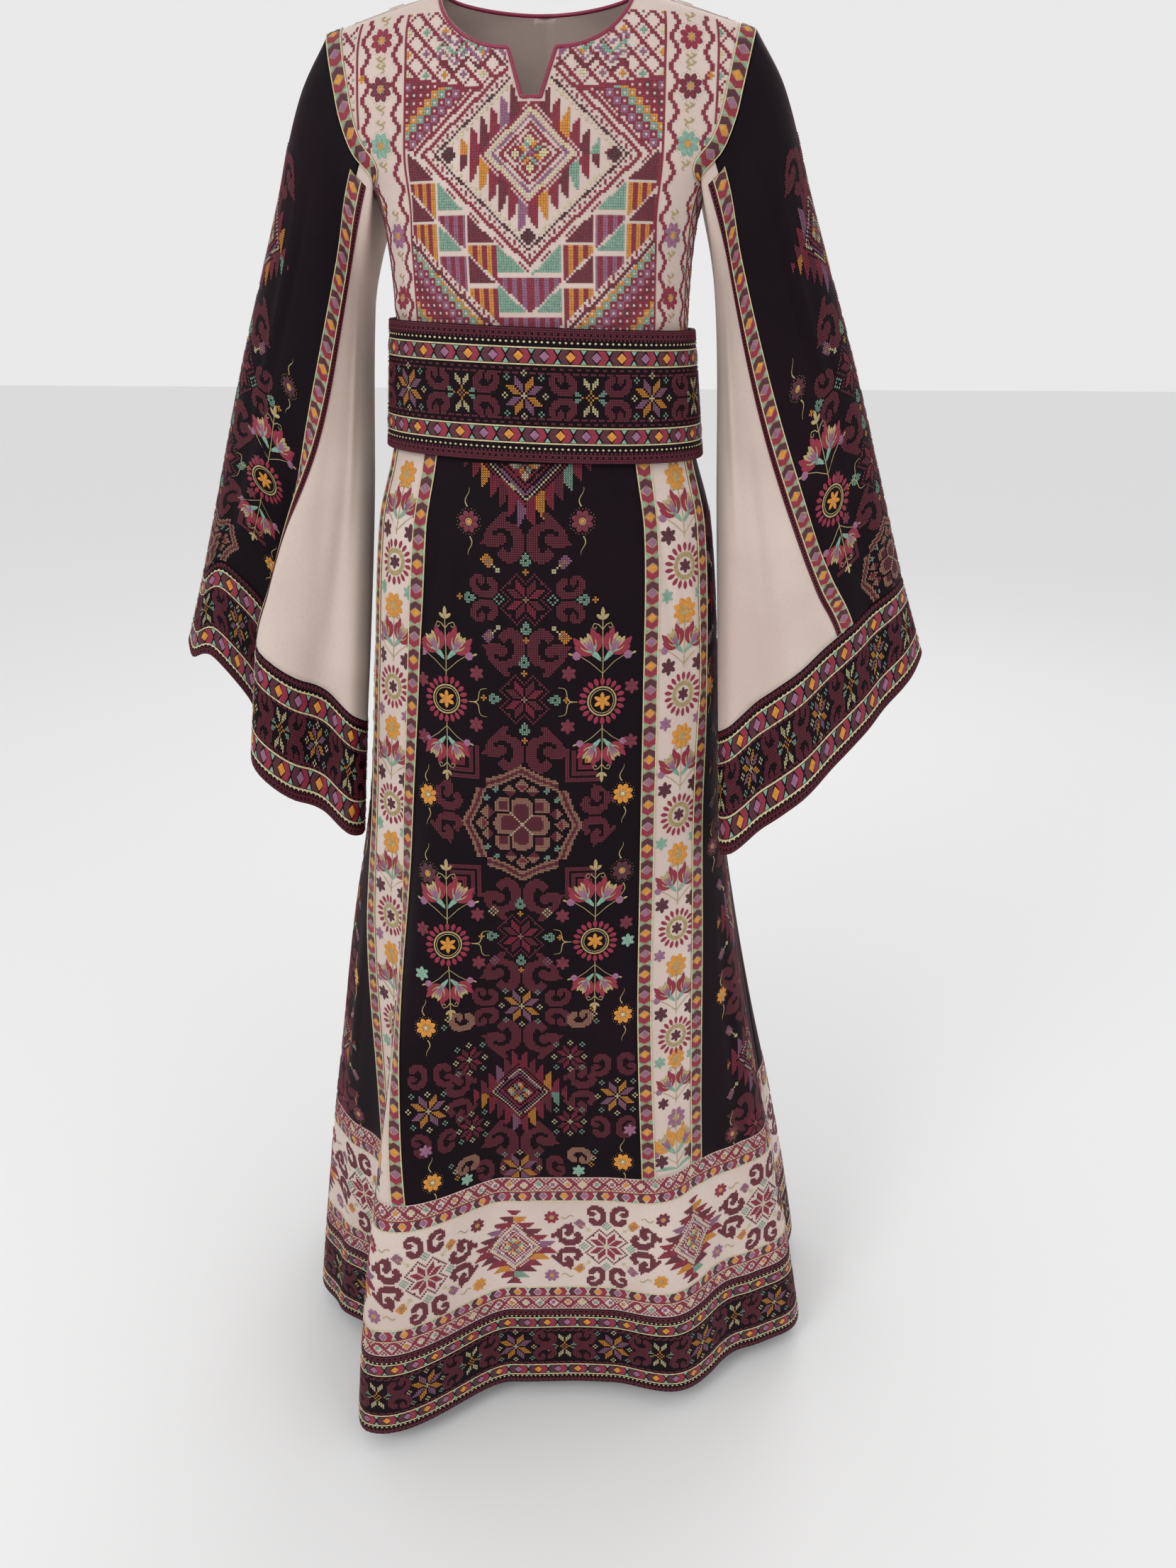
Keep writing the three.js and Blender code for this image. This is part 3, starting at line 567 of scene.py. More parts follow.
def bodice(across, row, front):
    """Points of the bodice: across from -1 to 1 between the side seams or armholes, and row upwards."""
    across, row = np.broadcast_arrays(np.asarray(across, float), np.asarray(row, float))
    away, bottom = np.abs(across), WAIST_Z + SEAM / 2
    hole_turn, hole_z = armhole_edge((row - UNDERARM_ROW) / (BODICE_ROWS - UNDERARM_ROW))
    low = row < UNDERARM_ROW
    edge_turn = np.where(low, 90, hole_turn)
    edge_z = np.where(low, bottom + (UNDERARM_Z - bottom) * row / UNDERARM_ROW, hole_z)
    split = 7 if front else SLIT_TOP_ROW
    neck_x, neck_z = neck_edge(np.maximum(row, split), front)
    inner_z = np.where(row < split, bottom + (neck_z - bottom) * row / split, neck_z)
    inner_turn = turn_at(neck_x, neck_z)
    share = np.maximum(0, (away - CORE_SHARE) / (1 - CORE_SHARE))
    beyond = inner_turn + (edge_turn - inner_turn) * share
    turn = np.where(away < CORE_SHARE, inner_turn * away / CORE_SHARE, beyond)
    z = inner_z + (edge_z - inner_z) * share
    side = np.where(across < 0, -1.0, 1.0)
    ridge = shoulder_line(half_width(z, side) * np.sin(np.radians(turn)))
    z = np.where(row > BODICE_ROWS - 0.01, ridge, z)
    return body(side * turn if front else side * (180 - turn), z)


def bodice_sheet(name, front):
    inner = np.linspace(CORE_SHARE, 1, 71)
    core = np.linspace(0, CORE_SHARE, 4)[:-1]
    half = np.concatenate([core, inner])
    across = np.concatenate([-half[:0:-1], half])
    if not front:
        across = across[::-1]
    row = np.arange(BODICE_ROWS * FINER, -1, -1) / FINER
    split = 7 if front else SLIT_TOP_ROW
    middle = len(across) // 2

    def hole(j, i):
        return (row[j + 1] >= split - 1e-6) & (i >= middle - 3) & (i < middle + 3)

    points = bodice(across[None, :], row[:, None], front)
    cloth_sheet(f"{name}_cloth", points, crepe, [name], "cream_crepe", hole=hole)


bodice_sheet("bodice_front", True)
bodice_sheet("bodice_back", False)


# The sleeves
# Wide bell sleeves: velvet over the arm, a panel of cream crepe under it, and a velvet band round the mouth.
# The left one's crepe has folded forward over the velvet.
SLEEVE_LENGTH = 600
SLEEVE_BAND_AT = 522
ARMHOLE_EASE = 110
SLEEVE_SECTIONS = table(
    "down outer_x outer_z inner_x inner_y inner_z deep hang",
    (0, 187, -34, 150, 0, -162, 52, 0),
    (60, 215, -80, 157, -4, -215, 54, 0),
    (150, 243, -165, 164, -8, -297, 54, 0),
    (300, 295, -310, 169, -24, -436, 50, 0),
    (450, 339, -448, 175, -56, -578, 46, 0),
    (SLEEVE_BAND_AT, 358, -508, 178, -76, -650, 42, -10),
    (SLEEVE_LENGTH, 386, -585, 183, -104, -768, 38, 14),
)
SLEEVE_FOLDS = (
    # turn, width, out, how far down it starts
    (26, 17, 9, 60),
    (52, 15, -8, 120),
    (80, 18, 8, 200),
    (128, 14, -7, 60),
    (152, 16, 7, 120),
    (215, 20, 9, 90),
    (246, 17, -8, 160),
    (281, 22, 10, 100),
    (317, 17, -6, 180),
)
# Creases of a sleeve: turn and length down of the middle, half width, half length, depth, lean in degrees
SLEEVE_CREASES = (
    (112, 210, 5, 190, -3.4, 12),
    (124, 260, 5, 230, 2.6, 10),
    (100, 400, 4, 130, -2.2, 8),
    (14, 150, 7, 120, -4.0, -10),
    (38, 230, 6, 170, 3.2, 6),
    (62, 380, 6, 160, -3.4, 5),
    (-18, 260, 7, 200, -4.0, 6),
    (-46, 300, 6, 200, 3.4, -5),
    (-70, 380, 6, 160, -3.2, 4),
    (165, 120, 8, 80, -2.2, 0),
    (200, 330, 6, 190, -3.2, 9),
    (232, 240, 6, 200, 3.0, -8),
    (262, 300, 6, 210, -3.4, 7),
    (20, 60, 16, 16, -2.4, 0),
    (-20, 60, 16, 16, -2.4, 0),
)
SLEEVE_SEAM = table("down turn", (0, 45), (150, 66), (300, 84), (450, 102), (SLEEVE_BAND_AT, 110))
SLEEVES = {
    # side, the inner edge's reach back, out and down at the hem, how much nearer the seam lies, and how far
    # the crepe folds over the velvet
    "left": (-1, 52, 15, 16, 12, 21),
    "right": (1, 0, 0, 0, 0, 0),
}


def armhole(side, turn):
    turn = np.mod(turn, 360)
    front = turn <= 180
    edge_turn, edge_z = armhole_edge(np.where(front, turn, 360 - turn) / 180)
    return body(side * np.where(front, edge_turn, 180 - edge_turn), edge_z)


def sleeve_seam(shape, down):
    share = np.clip(down / SLEEVE_BAND_AT, 0, 1)
    return read(SLEEVE_SEAM, "turn", share * SLEEVE_BAND_AT) - shape[4] * share**2


def sleeve_section(shape, turn, down):
    side, inner_back, inner_out, inner_lower, _, overlap = shape
    column = {name: read(SLEEVE_SECTIONS, name, down) for name in SLEEVE_SECTIONS if name != "down"}
    share = np.maximum(down, 0) / SLEEVE_LENGTH
    zero = np.zeros_like(share + turn)
    outer = np.stack([side * column["outer_x"] + zero, zero, column["outer_z"] + zero], -1)
    inner_x = side * (column["inner_x"] + inner_out * share**2) + zero
    inner_y = column["inner_y"] + inner_back * share**2 + zero
    inner = np.stack([inner_x, inner_y, column["inner_z"] - inner_lower * share**2 + zero], -1)
    half = (inner - outer) / 2
    sine, cosine = np.sin(np.radians(turn)), np.cos(np.radians(turn))
    folds = zero.copy()
    for middle, width, out, start in SLEEVE_FOLDS:
        folds += out * hump(around(turn, middle), width) * smooth((down - start) / (SLEEVE_LENGTH - start))
    for middle, level, width, length, out, lean in SLEEVE_CREASES:
        off = around(turn, middle + lean * (down - level) / length)
        folds += out * hump(off, width) * hump(down - level, length)
    point = (outer + inner) / 2 + half * cosine[..., None]
    lapped = overlap * smooth((down - 190) / 260)
    past = np.mod(turn - sleeve_seam(shape, down) + 180, 360) - 180
    swing = lapped * (hump(past - 12, 15) - hump(past + 13, 17))
    point += half / np.linalg.norm(half, axis=-1, keepdims=True) * swing[..., None]
    point[..., 1] -= (column["deep"] + folds) * sine
    point[..., 1] += lapped * (0.8 * hump(past - 12, 18) - 0.9 * hump(past + 15, 24))
    point[..., 2] -= column["hang"] * np.abs(sine)
    point[..., 2] += lapped * share * (2 * hump(past - 24, 38) - 0.4 * hump(past + 16, 30))
    return point


def sleeve(shape, turn, down):
    """Points of a sleeve: degrees round it from its inner edge by the front, and length down the cloth."""
    turn, down = np.broadcast_arrays(np.asarray(turn, float), np.asarray(down, float))
    start = armhole(shape[0], turn) - sleeve_section(shape, turn, np.zeros_like(down))
    return sleeve_section(shape, turn, down) + start * (1 - smooth(down / ARMHOLE_EASE))[..., None]


def sleeve_sheets(name, shape):
    down = np.linspace(0.5, SLEEVE_BAND_AT - SEAM, 86)[:, None]
    seam = sleeve_seam(shape, down)
    flip = shape[0] < 0
    over = sleeve(shape, seam + 0.2 + (360 - 2 * seam - 0.4) * np.linspace(0, 1, 81), down)
    under = sleeve(shape, -seam + 0.2 + (2 * seam - 0.4) * np.linspace(0, 1, 61), down)
    mouth = np.linspace(SLEEVE_BAND_AT + SEAM, SLEEVE_LENGTH, 15)[:, None]
    band = sleeve(shape, np.arange(0, 360, 2.5)[None, :], mouth)
    for part, points, finish, slot, ring in (
        ("sleeve_velvet", over, velvet, "burgundy_velvet", False),
        ("sleeve_panel", under, crepe, "cream_crepe", False),
        ("sleeve_band", band, velvet, "burgundy_velvet", True),
    ):
        made = points[:, ::-1] if flip else points
        cloth_sheet(f"{part}_{name}_cloth", made, finish, [f"{part}_{name}"], slot, ring=ring)


for name, shape in SLEEVES.items():
    sleeve_sheets(name, shape)


# The belt
# One stiffened band of velvet whose ends lap at the centre of the back. It lies over the seam of the waist.
BELT_HEIGHT = 113
BELT_TOP_Z = -271
BELT_THICK = 3
BELT_CLEAR = 4
BELT_TILT = 5
BELT_END = 193  # degrees from the centre front to each end, so they lap by twice 13


def belt_points(turn, down):
    """Outer face of the belt: degrees from the centre front, and length down from its upper edge."""
    turn, down = np.broadcast_arrays(np.asarray(turn, float), np.asarray(down, float))
    top = BELT_TOP_Z - BELT_TILT * np.sin(np.radians(turn))
    high, low = body(turn, top), body(turn, top - BELT_HEIGHT)
    on = high + (low - high) * (down / BELT_HEIGHT)[..., None]
    step = body(turn + 1, top) - body(turn - 1, top)
    across = step / np.linalg.norm(step, axis=-1, keepdims=True)
    normal = np.cross(across, (high - low) / np.linalg.norm(high - low, axis=-1, keepdims=True))
    lapped = smooth((turn - 145) / 20) * (BELT_THICK + 1)
    return on + normal * (BELT_CLEAR + BELT_THICK + lapped)[..., None]


belt_turns, belt_downs = np.linspace(-BELT_END, BELT_END, 260), np.linspace(0, BELT_HEIGHT, 15)
belt_grid = belt_points(belt_turns[None, :], belt_downs[:, None])
cloth_sheet("belt_cloth", belt_grid, velvet, ["belt"], "belt_velvet", thickness=BELT_THICK)


# The threads
# Threads in eight colours, and a gilt one. Cross stitch covers the panels, and raised satin stitch and
# couched cord make the flowers and the ribbons' diamonds. Here is the cloth laid flat for both.
THREADS = {
    "maroon": "#6c152c",
    "crimson": "#8d1735",
    "mint": "#80a692",
    "gold": "#d48c2a",
    "lilac": "#93607f",
    "cream": "#d6c99c",
    "plum": "#4d1123",
    "tan": "#ad7b66",
    "metal": "#b09c6a",
}
THREAD_ORDER = list(THREADS)
DIAMOND_PITCH = 23  # of the ribbons and trims


def thread_finish(name, code):
    """Twisted thread: a soft gloss, a shade that changes from stitch to stitch, and fine strands."""
    gloss = 0.3 if name in ("cream", "metal") else 0.48
    made = Finish(f"{name}_thread", specular_ior_level=0.45, sheen_weight=0.15, sheen_roughness=0.4)
    uneven = made.spots(420.0, 2.0)
    strands = made.spots(3800.0, 1.0)
    shade = made.mix(uneven.clear(0.35, 0.7), paint(code, 0.8), paint(code, 1.15))
    made.feed("Base Color", made.mix(strands.clear(0.3, 0.7) * 0.4, shade, paint(code, 0.62)))
    made.feed("Roughness", strands * 0.25 + gloss - 0.1)
    made.relief(strands, 0.00025, 0.5)
    return made.material


thread_finishes = [thread_finish(name, code) for name, code in THREADS.items()]


def steady(value):
    """The same value at every level."""
    return lambda down: np.full(len(down), float(value))


class Laid:
    """A piece of cloth laid flat: millimetres across from a centre line, and down from the top."""

    def __init__(self, form, centre, downs, across, edges=None, spread=180, step=3.0):
        self.downs = np.arange(downs[0], downs[1] + step, step)
        self.low, self.step = across[0], step
        self.across = np.arange(across[0], across[1] + step, step)
        middle = (centre if callable(centre) else steady(centre))(self.downs)
        turns = middle[:, None] + np.linspace(-spread, spread, 721)[None, :]
        long = lengths(form(turns, self.downs[:, None]), 1)
        long -= long[:, [360]]
        flat = np.stack([np.interp(self.across, row, turn) for row, turn in zip(long, turns)])
        self.points = form(flat, self.downs[:, None])
        self.normals = grid_normals(self.points)
        self.ends = []
        for end in edges or (steady(-1e9), steady(1e9)):
            rows = zip(end(self.downs), turns, long)
            self.ends.append(np.array([np.interp(edge, turn, row) for edge, turn, row in rows]))

    def at(self, across, down, lift=0.0):
        i = np.clip((np.asarray(across) - self.low) / self.step, 0, len(self.across) - 1.001)
        j = np.clip((np.asarray(down) - self.downs[0]) / self.step, 0, len(self.downs) - 1.001)
        k, m = i.astype(int), j.astype(int)
        p, q = (i - k)[..., None], (j - m)[..., None]

        def blend(grid):
            upper = grid[m, k] * (1 - p) + grid[m, k + 1] * p
            lower = grid[m + 1, k] * (1 - p) + grid[m + 1, k + 1] * p
            return upper * (1 - q) + lower * q

        return blend(self.points) + blend(self.normals) * np.asarray(lift)[..., None]

    def inside(self, across, down, margin):
        left, right = (np.interp(down, self.downs, end) for end in self.ends)
        return (across > left + margin) & (across < right - margin)

    def span(self, down, margin=1.0):
        """From seam to seam at one level."""
        left, right = (float(np.interp(down, self.downs, end)) for end in self.ends)
        return left + margin, right - margin


class Chart:
    """Squared paper for cross stitch over a piece of cloth: one thread number in each square, 0 is bare."""

    def __init__(self, across, downs, square):
        self.square = square
        self.x = np.arange(across[0] + square / 2, across[1], square)[None, :]
        self.y = np.arange(downs[0] + square / 2, downs[1], square)[:, None]
        self.threads = np.zeros((self.y.size, self.x.size), int)

    def fill(self, where, thread):
        number = THREAD_ORDER.index(thread) + 1 if thread else 0
        self.threads[np.broadcast_to(where, self.threads.shape)] = number

    def stamp(self, rows, x, y, key, mirror=False, flip=False, turned=False):
        """Works a small chart round a place; its letters are looked up in key."""
        cells = np.array([list(row) for row in rows])
        if turned:
            cells = cells.T
        if mirror:
            cells = cells[:, ::-1]
        if flip:
            cells = cells[::-1]
        j0 = round((y - self.y[0, 0]) / self.square - (cells.shape[0] - 1) / 2)
        i0 = round((x - self.x[0, 0]) / self.square - (cells.shape[1] - 1) / 2)
        for (j, i), letter in np.ndenumerate(cells):
            if letter in key and 0 <= j0 + j < self.y.size and 0 <= i0 + i < self.x.size:
                self.threads[j0 + j, i0 + i] = THREAD_ORDER.index(key[letter]) + 1

    def star(self, x, y, arm, first, second=None, heart=None):
        """The eight-pointed star of eight leaning leaves, two to each side."""
        i, j = np.round((self.x - x) / self.square), np.round((self.y - y) / self.square)
        a, b = np.abs(i), np.abs(j)
        small, large = np.minimum(a, b), np.maximum(a, b)
        leaf = (small > 0) & (small <= arm) & (large > small) & (large - small <= arm)
        self.fill(leaf, first)
        if second:
            self.fill(leaf & (((i > 0) == (j > 0)) == (a < b)), second)
        if heart:
            self.fill((a + b) <= 1, heart)

    def outline_star(self, x, y, arm, thread):
        """A stepped line one square away from an eight-pointed star."""
        a = np.abs(np.round((self.x - x) / self.square))
        b = np.abs(np.round((self.y - y) / self.square))
        small, large = np.minimum(a, b), np.maximum(a, b)
        star = (large <= small + arm) & (small <= arm)
        rings = [star]
        for _ in range(3):
            near = rings[-1].copy()
            for shift, axis in ((1, 0), (-1, 0), (1, 1), (-1, 1)):
                near |= np.roll(rings[-1], shift, axis)
            rings.append(near)
        self.fill(rings[3] & ~rings[2], thread)


def cross_stitches(name, laid, chart, fullness=0.17, margin=1.6, height=0.75):
    """One raised cross for every worked square, its two threads as small ridges."""
    j, i = np.nonzero(chart.threads)
    thread = chart.threads[j, i] - 1
    x, y = chart.x[0, i], chart.y[j, 0]
    kept = laid.inside(x, y, margin)
    x, y, thread = x[kept], y[kept], thread[kept]
    long, wide = 0.51 * chart.square, fullness * chart.square
    corners = []
    for b in (1, -1):
        for dx, dy, lift in (
            (-long, -b * long, 0.12),
            (wide, -b * wide, height),
            (long, b * long, 0.12),
            (-wide, b * wide, height),
        ):
            corners.append(laid.at(x + dx, y + dy, np.full(len(x), lift)))
    vertices = np.stack(corners, 1).reshape(-1, 3)
    pattern = np.array([(0, 1, 3), (1, 2, 3), (4, 7, 5), (5, 7, 6)])
    faces = (pattern[None] + 8 * np.arange(len(x))[:, None, None]).reshape(-1, 3)
    kinds = np.repeat(thread, len(pattern))
    faces = outward(vertices, faces, laid, x, y)
    piece = new_mesh(name, vertices, faces, thread_finishes, None, kinds, False)


def outward(vertices, faces, laid, x, y):
    """Faces of crosses turned so that they face away from the cloth."""
    a, b, c = (vertices[faces[:, k]] for k in range(3))
    normals = np.repeat(laid.at(x, y, np.ones(len(x))) - laid.at(x, y), len(faces) // max(len(x), 1), 0)
    inward = (np.cross(b - a, c - a) * normals).sum(-1) < 0
    return np.where(inward[:, None], faces[:, ::-1], faces)


class Satin:
    """Raised satin stitch and couched cord on one piece of cloth, gathered into one mesh."""

    def __init__(self, laid, base=0.25):
        self.laid, self.base = laid, base
        self.corners, self.faces, self.threads = [], [], []

    def add(self, corners, faces, thread):
        start = len(self.corners)
        self.corners += corners
        self.faces += [tuple(start + k for k in face) for face in faces]
        self.threads += [THREAD_ORDER.index(thread)] * len(faces)

    def ridge(self, line, widths, thread, height=0.9):
        """A thread or leaf along a line of places, with its width at each, raised along the middle."""
        corners = []
        for k, (x, y) in enumerate(line):
            before, after = line[max(k - 1, 0)], line[min(k + 1, len(line) - 1)]
            dx, dy = after[0] - before[0], after[1] - before[1]
            long = math.hypot(dx, dy) or 1
            ox, oy = -dy / long * widths[k] / 2, dx / long * widths[k] / 2
            rise = height * min(1, 0.25 + widths[k] / (max(widths) or 1))
            corners += [(x - ox, y - oy, 0), (x, y, rise), (x + ox, y + oy, 0)]
        faces = []
        for k in range(len(line) - 1):
            for side in (0, 1):
                a, b = 3 * k + side, 3 * k + side + 3
                faces += [(a, b, b + 1), (a, b + 1, a + 1)]
        self.add(corners, faces, thread)

    def leaf(self, x, y, turn, length, width, thread, height=1.0, bend=0.0):
        """A leaf or petal from its foot: turn is in degrees clockwise from straight up."""
        line, widths = [], []
        for k in range(6):
            t = k / 5
            angle = math.radians(turn + bend * t)
            line.append((x + math.sin(angle) * length * t, y - math.cos(angle) * length * t))
            widths.append(width * (0.2, 0.68, 0.95, 1.0, 0.82, 0.16)[k])
        self.ridge(line, widths, thread, height)

    def cord(self, line, thread, width=0.9, height=0.6):
        self.ridge(line, [width] * len(line), thread, height)

    def ring(self, x, y, radius, thread, width=0.9, sides=20):
        turns = [2 * math.pi * k / sides for k in range(sides + 1)]
        self.cord([(x + radius * math.sin(t), y - radius * math.cos(t)) for t in turns], thread, width)

    def pad(self, outline, thread, height=0.7):
        """A satin field: its outline lies on the cloth and its middle is raised."""
        x = sum(p[0] for p in outline) / len(outline)
        y = sum(p[1] for p in outline) / len(outline)
        n = len(outline)
        corners = [(px, py, 0) for px, py in outline] + [(x, y, height)]
        self.add(corners, [(k, (k + 1) % n, n) for k in range(n)], thread)

    def dot(self, x, y, radius, thread, height=0.8, sides=7):
        turns = [2 * math.pi * k / sides for k in range(sides)]
        self.pad([(x + radius * math.cos(t), y + radius * math.sin(t)) for t in turns], thread, height)

    def daisy(self, x, y, radius, thread, heart, outline=True):
        petals = 8
        inner = radius * 0.28
        for k in range(petals):
            turn = 360 * (k + 0.5) / petals
            angle = math.radians(turn)
            foot = (x + math.sin(angle) * inner, y - math.cos(angle) * inner)
            self.leaf(*foot, turn, radius - inner, radius * 0.98 * 4.2 / petals, thread)
        self.dot(x, y, radius * 0.2, heart)
        self.ring(x, y, radius * 0.28, "metal", 1.2, 12)
        if outline:
            beads = 24
            for k in range(beads):
                angle = 2 * math.pi * k / beads
                far = radius * (1.1 + 0.06 * math.cos(petals * angle + math.pi))
                self.dot(x + far * math.sin(angle), y - far * math.cos(angle), 0.42, "metal", 0.4, 4)

    def flower(self, x, y, radius, thread):
        for k in range(6):
            self.leaf(x, y, 60 * k, radius, radius * 0.56, thread, 0.9)

    def tendril(self, x, y, way, up):
        """A wavy cord that leaves a flower upwards or downwards and thins out."""
        line = [(x + way * 2.2 * math.sin(t * 5.2), y - up * 17 * t) for t in np.linspace(0, 1, 9)]
        self.ridge(line, [1.3 - 1.0 * k / 8 for k in range(9)], "metal", 0.6)

    def bloom(self, x, y, turn, size, outer):
        """An open tulip in profile: two petals to each side, pale ones among them, and the bud."""
        for lean, thread, long, wide, height in (
            (72, outer, 0.8, 0.28, 0.8),
            (42, outer, 1.0, 0.3, 0.9),
            (57, "metal", 0.62, 0.09, 1.4),
            (20, "metal", 0.82, 0.24, 1.0),
            (20, "lilac", 0.68, 0.15, 1.5),
        ):
            for side in (-1, 1):
                bend = -side * lean * 0.42
                self.leaf(x, y, turn + side * lean, size * long, size * wide, thread, height, bend)
        self.leaf(x, y, turn, size * 0.72, size * 0.24, "metal", 0.9)
        self.leaf(x, y, turn, size * 0.6, size * 0.15, "lilac", 1.5)
        for side in (-1, 1):
            self.leaf(x, y, turn + side * 40, size * 0.36, size * 0.15, "mint", 1.6)

    def sunflower(self, x, y, radius, heart):
        for k in range(20):
            turn = 18 * k
            angle = math.radians(turn)
            foot = (x + math.sin(angle) * radius * 0.66, y - math.cos(angle) * radius * 0.66)
            self.leaf(*foot, turn, radius * 0.34, radius * 0.19, "crimson")
        self.ring(x, y, radius * 0.6, "metal", 1.5, 28)
        self.ring(x, y, radius * 0.5, "metal", 0.8, 24)
        for k in range(6):
            self.leaf(x, y, 60 * k, radius * 0.38, radius * 0.17, heart, 1.2)
        self.dot(x, y, radius * 0.07, "metal")

    def spray(self, x, y, up, size=1.0, edge="crimson"):
        """Two tulips on a forked stem with berries, mint leaves and a scrolled tip, from its foot."""

        def place(dx, dy):
            return x + dx * size, y - up * dy * size

        self.cord([place(0, 0), place(0.3, 14), place(0, 30), place(0, 44)], "metal", 0.9)
        for side in (-1, 1):
            turn = side * 30 if up > 0 else 180 - side * 30
            self.leaf(*place(side * 1.2, 12), turn + side * up * 8, 11 * size, 3.4 * size, "mint", 0.9)
            self.leaf(*place(side * 1.2, 14), turn + side * up * 34, 8 * size, 2.6 * size, "mint", 0.9)
            self.bloom(*place(side * 6.5, 18), turn, 18.5 * size, edge)
            self.cord([place(0, 3), place(side * 9, 11), place(side * 16, 15.5)], "metal", 0.7)
            self.dot(*place(side * 19, 16), 3.3 * size, "lilac")
            self.leaf(*place(side * 21.5, 16.5), turn + side * up * 40, 4 * size, 1.6 * size, "metal", 0.5)
            curl = [(0, 35), (3, 38.5), (6.2, 39.5), (7.6, 37), (5.6, 35.4), (4.4, 37)]
            self.cord([place(side * dx, dy) for dx, dy in curl], "metal", 0.9)
            self.leaf(*place(0, 42), (turn + side * up * 20), 6 * size, 2.6 * size, "metal", 0.6)
        self.leaf(*place(0, 42), 0 if up > 0 else 180, 9 * size, 3 * size, "metal", 0.8)

    def make(self, name, margin=None):
        """The mesh; with a margin, nothing is kept that comes nearer than that to the cloth's seams."""
        corners = np.array(self.corners)
        faces, threads = self.turned(corners), np.array(self.threads)
        if margin is not None:
            kept = self.laid.inside(corners[:, 0], corners[:, 1], margin)[faces].all(1)
            used, faces = np.unique(faces[kept], return_inverse=True)
            faces, threads, corners = faces.reshape(-1, 3), threads[kept], corners[used]
        vertices = self.laid.at(corners[:, 0], corners[:, 1], corners[:, 2] + self.base)
        new_mesh(name, vertices, faces, thread_finishes, None, threads)

    def turned(self, corners):
        """Faces turned the same way round on the flat cloth, which is outwards on the dress."""
        faces = np.array(self.faces)
        a, b, c = (corners[faces[:, k], :2] for k in range(3))
        ab, ac = b - a, c - a
        wrong = ab[:, 0] * ac[:, 1] - ab[:, 1] * ac[:, 0] > 0
        return np.where(wrong[:, None], faces[:, ::-1], faces)


def trim(satin, place, start, end, half, edge):
    """A run of the diamond ribbon: place turns lengths along and across it into places on the cloth."""

    def shape(along, outline, thread, height=0.7):
        satin.pad([place(along + dx, dy) for dx, dy in outline], thread, height)

    count = max(1, round((end - start) / DIAMOND_PITCH))
    pitch = (end - start) / count
    tip, wide, tall = pitch * 0.475, pitch * 0.2, half * 0.76
    far = pitch * 0.33
    for k in range(count):
        middle = start + (k + 0.5) * pitch
        for up in (-1, 1):
            shape(middle, [(-tip, 0), (-far, up * half), (-0.5, up * half), (-wide - 0.5, 0)], "plum")
            shape(middle, [(tip, 0), (far, up * half), (0.5, up * half), (wide + 0.5, 0)], "crimson")
            gap = [(pitch / 2 - 2.7, up * half), (pitch / 2 + 2.7, up * half), (pitch / 2, up * half * 0.35)]
            shape(middle, gap, "mint", 0.5)
        diamond = [(-wide, 0), (0, -tall), (wide, 0), (0, tall)]
        shape(middle, diamond, "lilac" if k % 2 else "gold", 1.1)
    steps = np.linspace(start, end, max(2, round((end - start) / 5)))
    for side in (-edge, edge):
        satin.cord([place(t, side) for t in steps], "cream", 1.2, 0.7)


def dotted(satin, place, start, end):
    """A row of small cream dots."""
    pitch, size = 5.2, 1.35
    for t in np.arange(start + pitch / 2, end, pitch):
        dot = ((t - size, 0), (t, size * 0.8), (t + size, 0), (t, -size * 0.8))
        satin.pad([place(along, reach) for along, reach in dot], "cream")


# The ribbons
# Woven silk ribbons are sewn over the seams of the skirt's front, down the sleeves and round the armholes.
# Each has a run of satin diamonds between two couched cream cords. Beside the sleeves' ribbons shows a narrow
# binding of velvet, edged with maroon crosses.
RIBBON_WIDTH = 15
RIBBON_LIFT = 1.0  # from the panels to the ribbon's face
RIBBON_CLOTH = 0.6
CORD_AT = 7.0


def ribbon_finish():
    """Tightly woven silk, beige with a metal weft that gives it soft glints."""
    made = Finish("silk_ribbon", specular_ior_level=0.5, sheen_weight=0.2, sheen_roughness=0.4)
    weft = made.spots(2400.0, 2.0)
    tone = made.spots(90.0, 2.0)
    shade = made.mix(tone.clear(0.35, 0.7), paint("#86714f"), paint("#b29d72"))
    made.feed("Base Color", made.mix(weft.clear(0.4, 0.7) * 0.5, shade, paint("#54402c")))
    made.feed("Roughness", weft * 0.3 + 0.3)
    made.relief(weft, 0.0002, 0.5)
    return made.material


silk = ribbon_finish()


SKIRT_DOWNS = (-WAIST_Z, -BORDER_TOP_Z)


def dress(turn, down):
    return body(turn, -np.asarray(down, float))


def ribbon(name, laid, start, end, centre=None):
    """One ribbon with its diamonds: it runs down the middle of the cloth that it is laid on."""
    downs = np.linspace(start, end, max(8, round((end - start) / 7)))
    middle = centre(downs) if centre else np.zeros(len(downs))
    across = np.linspace(-RIBBON_WIDTH / 2, RIBBON_WIDTH / 2, 5)
    points = laid.at(middle[:, None] + across[None, :], downs[:, None] + 0 * across[None, :], RIBBON_LIFT)
    cloth_sheet(f"{name}_cloth", points, silk, [name], "silk_ribbon", thickness=RIBBON_CLOTH)
    work = Satin(laid, RIBBON_LIFT + 0.1)

    def place(along, reach):
        return (float(np.interp(along, downs, middle)) + reach, along)

    trim(work, place, start, end, half=6.4, edge=CORD_AT)
    work.make(f"{name}_diamonds")


for name in ("outer_left", "inner_left", "inner_right", "outer_right"):
    laid = Laid(dress, seam_down(name), SKIRT_DOWNS, (-14, 14), spread=12, step=2.0)
    ribbon(f"skirt_ribbon_{name}", laid, -WAIST_Z + 1, -BORDER_TOP_Z - 0.5)


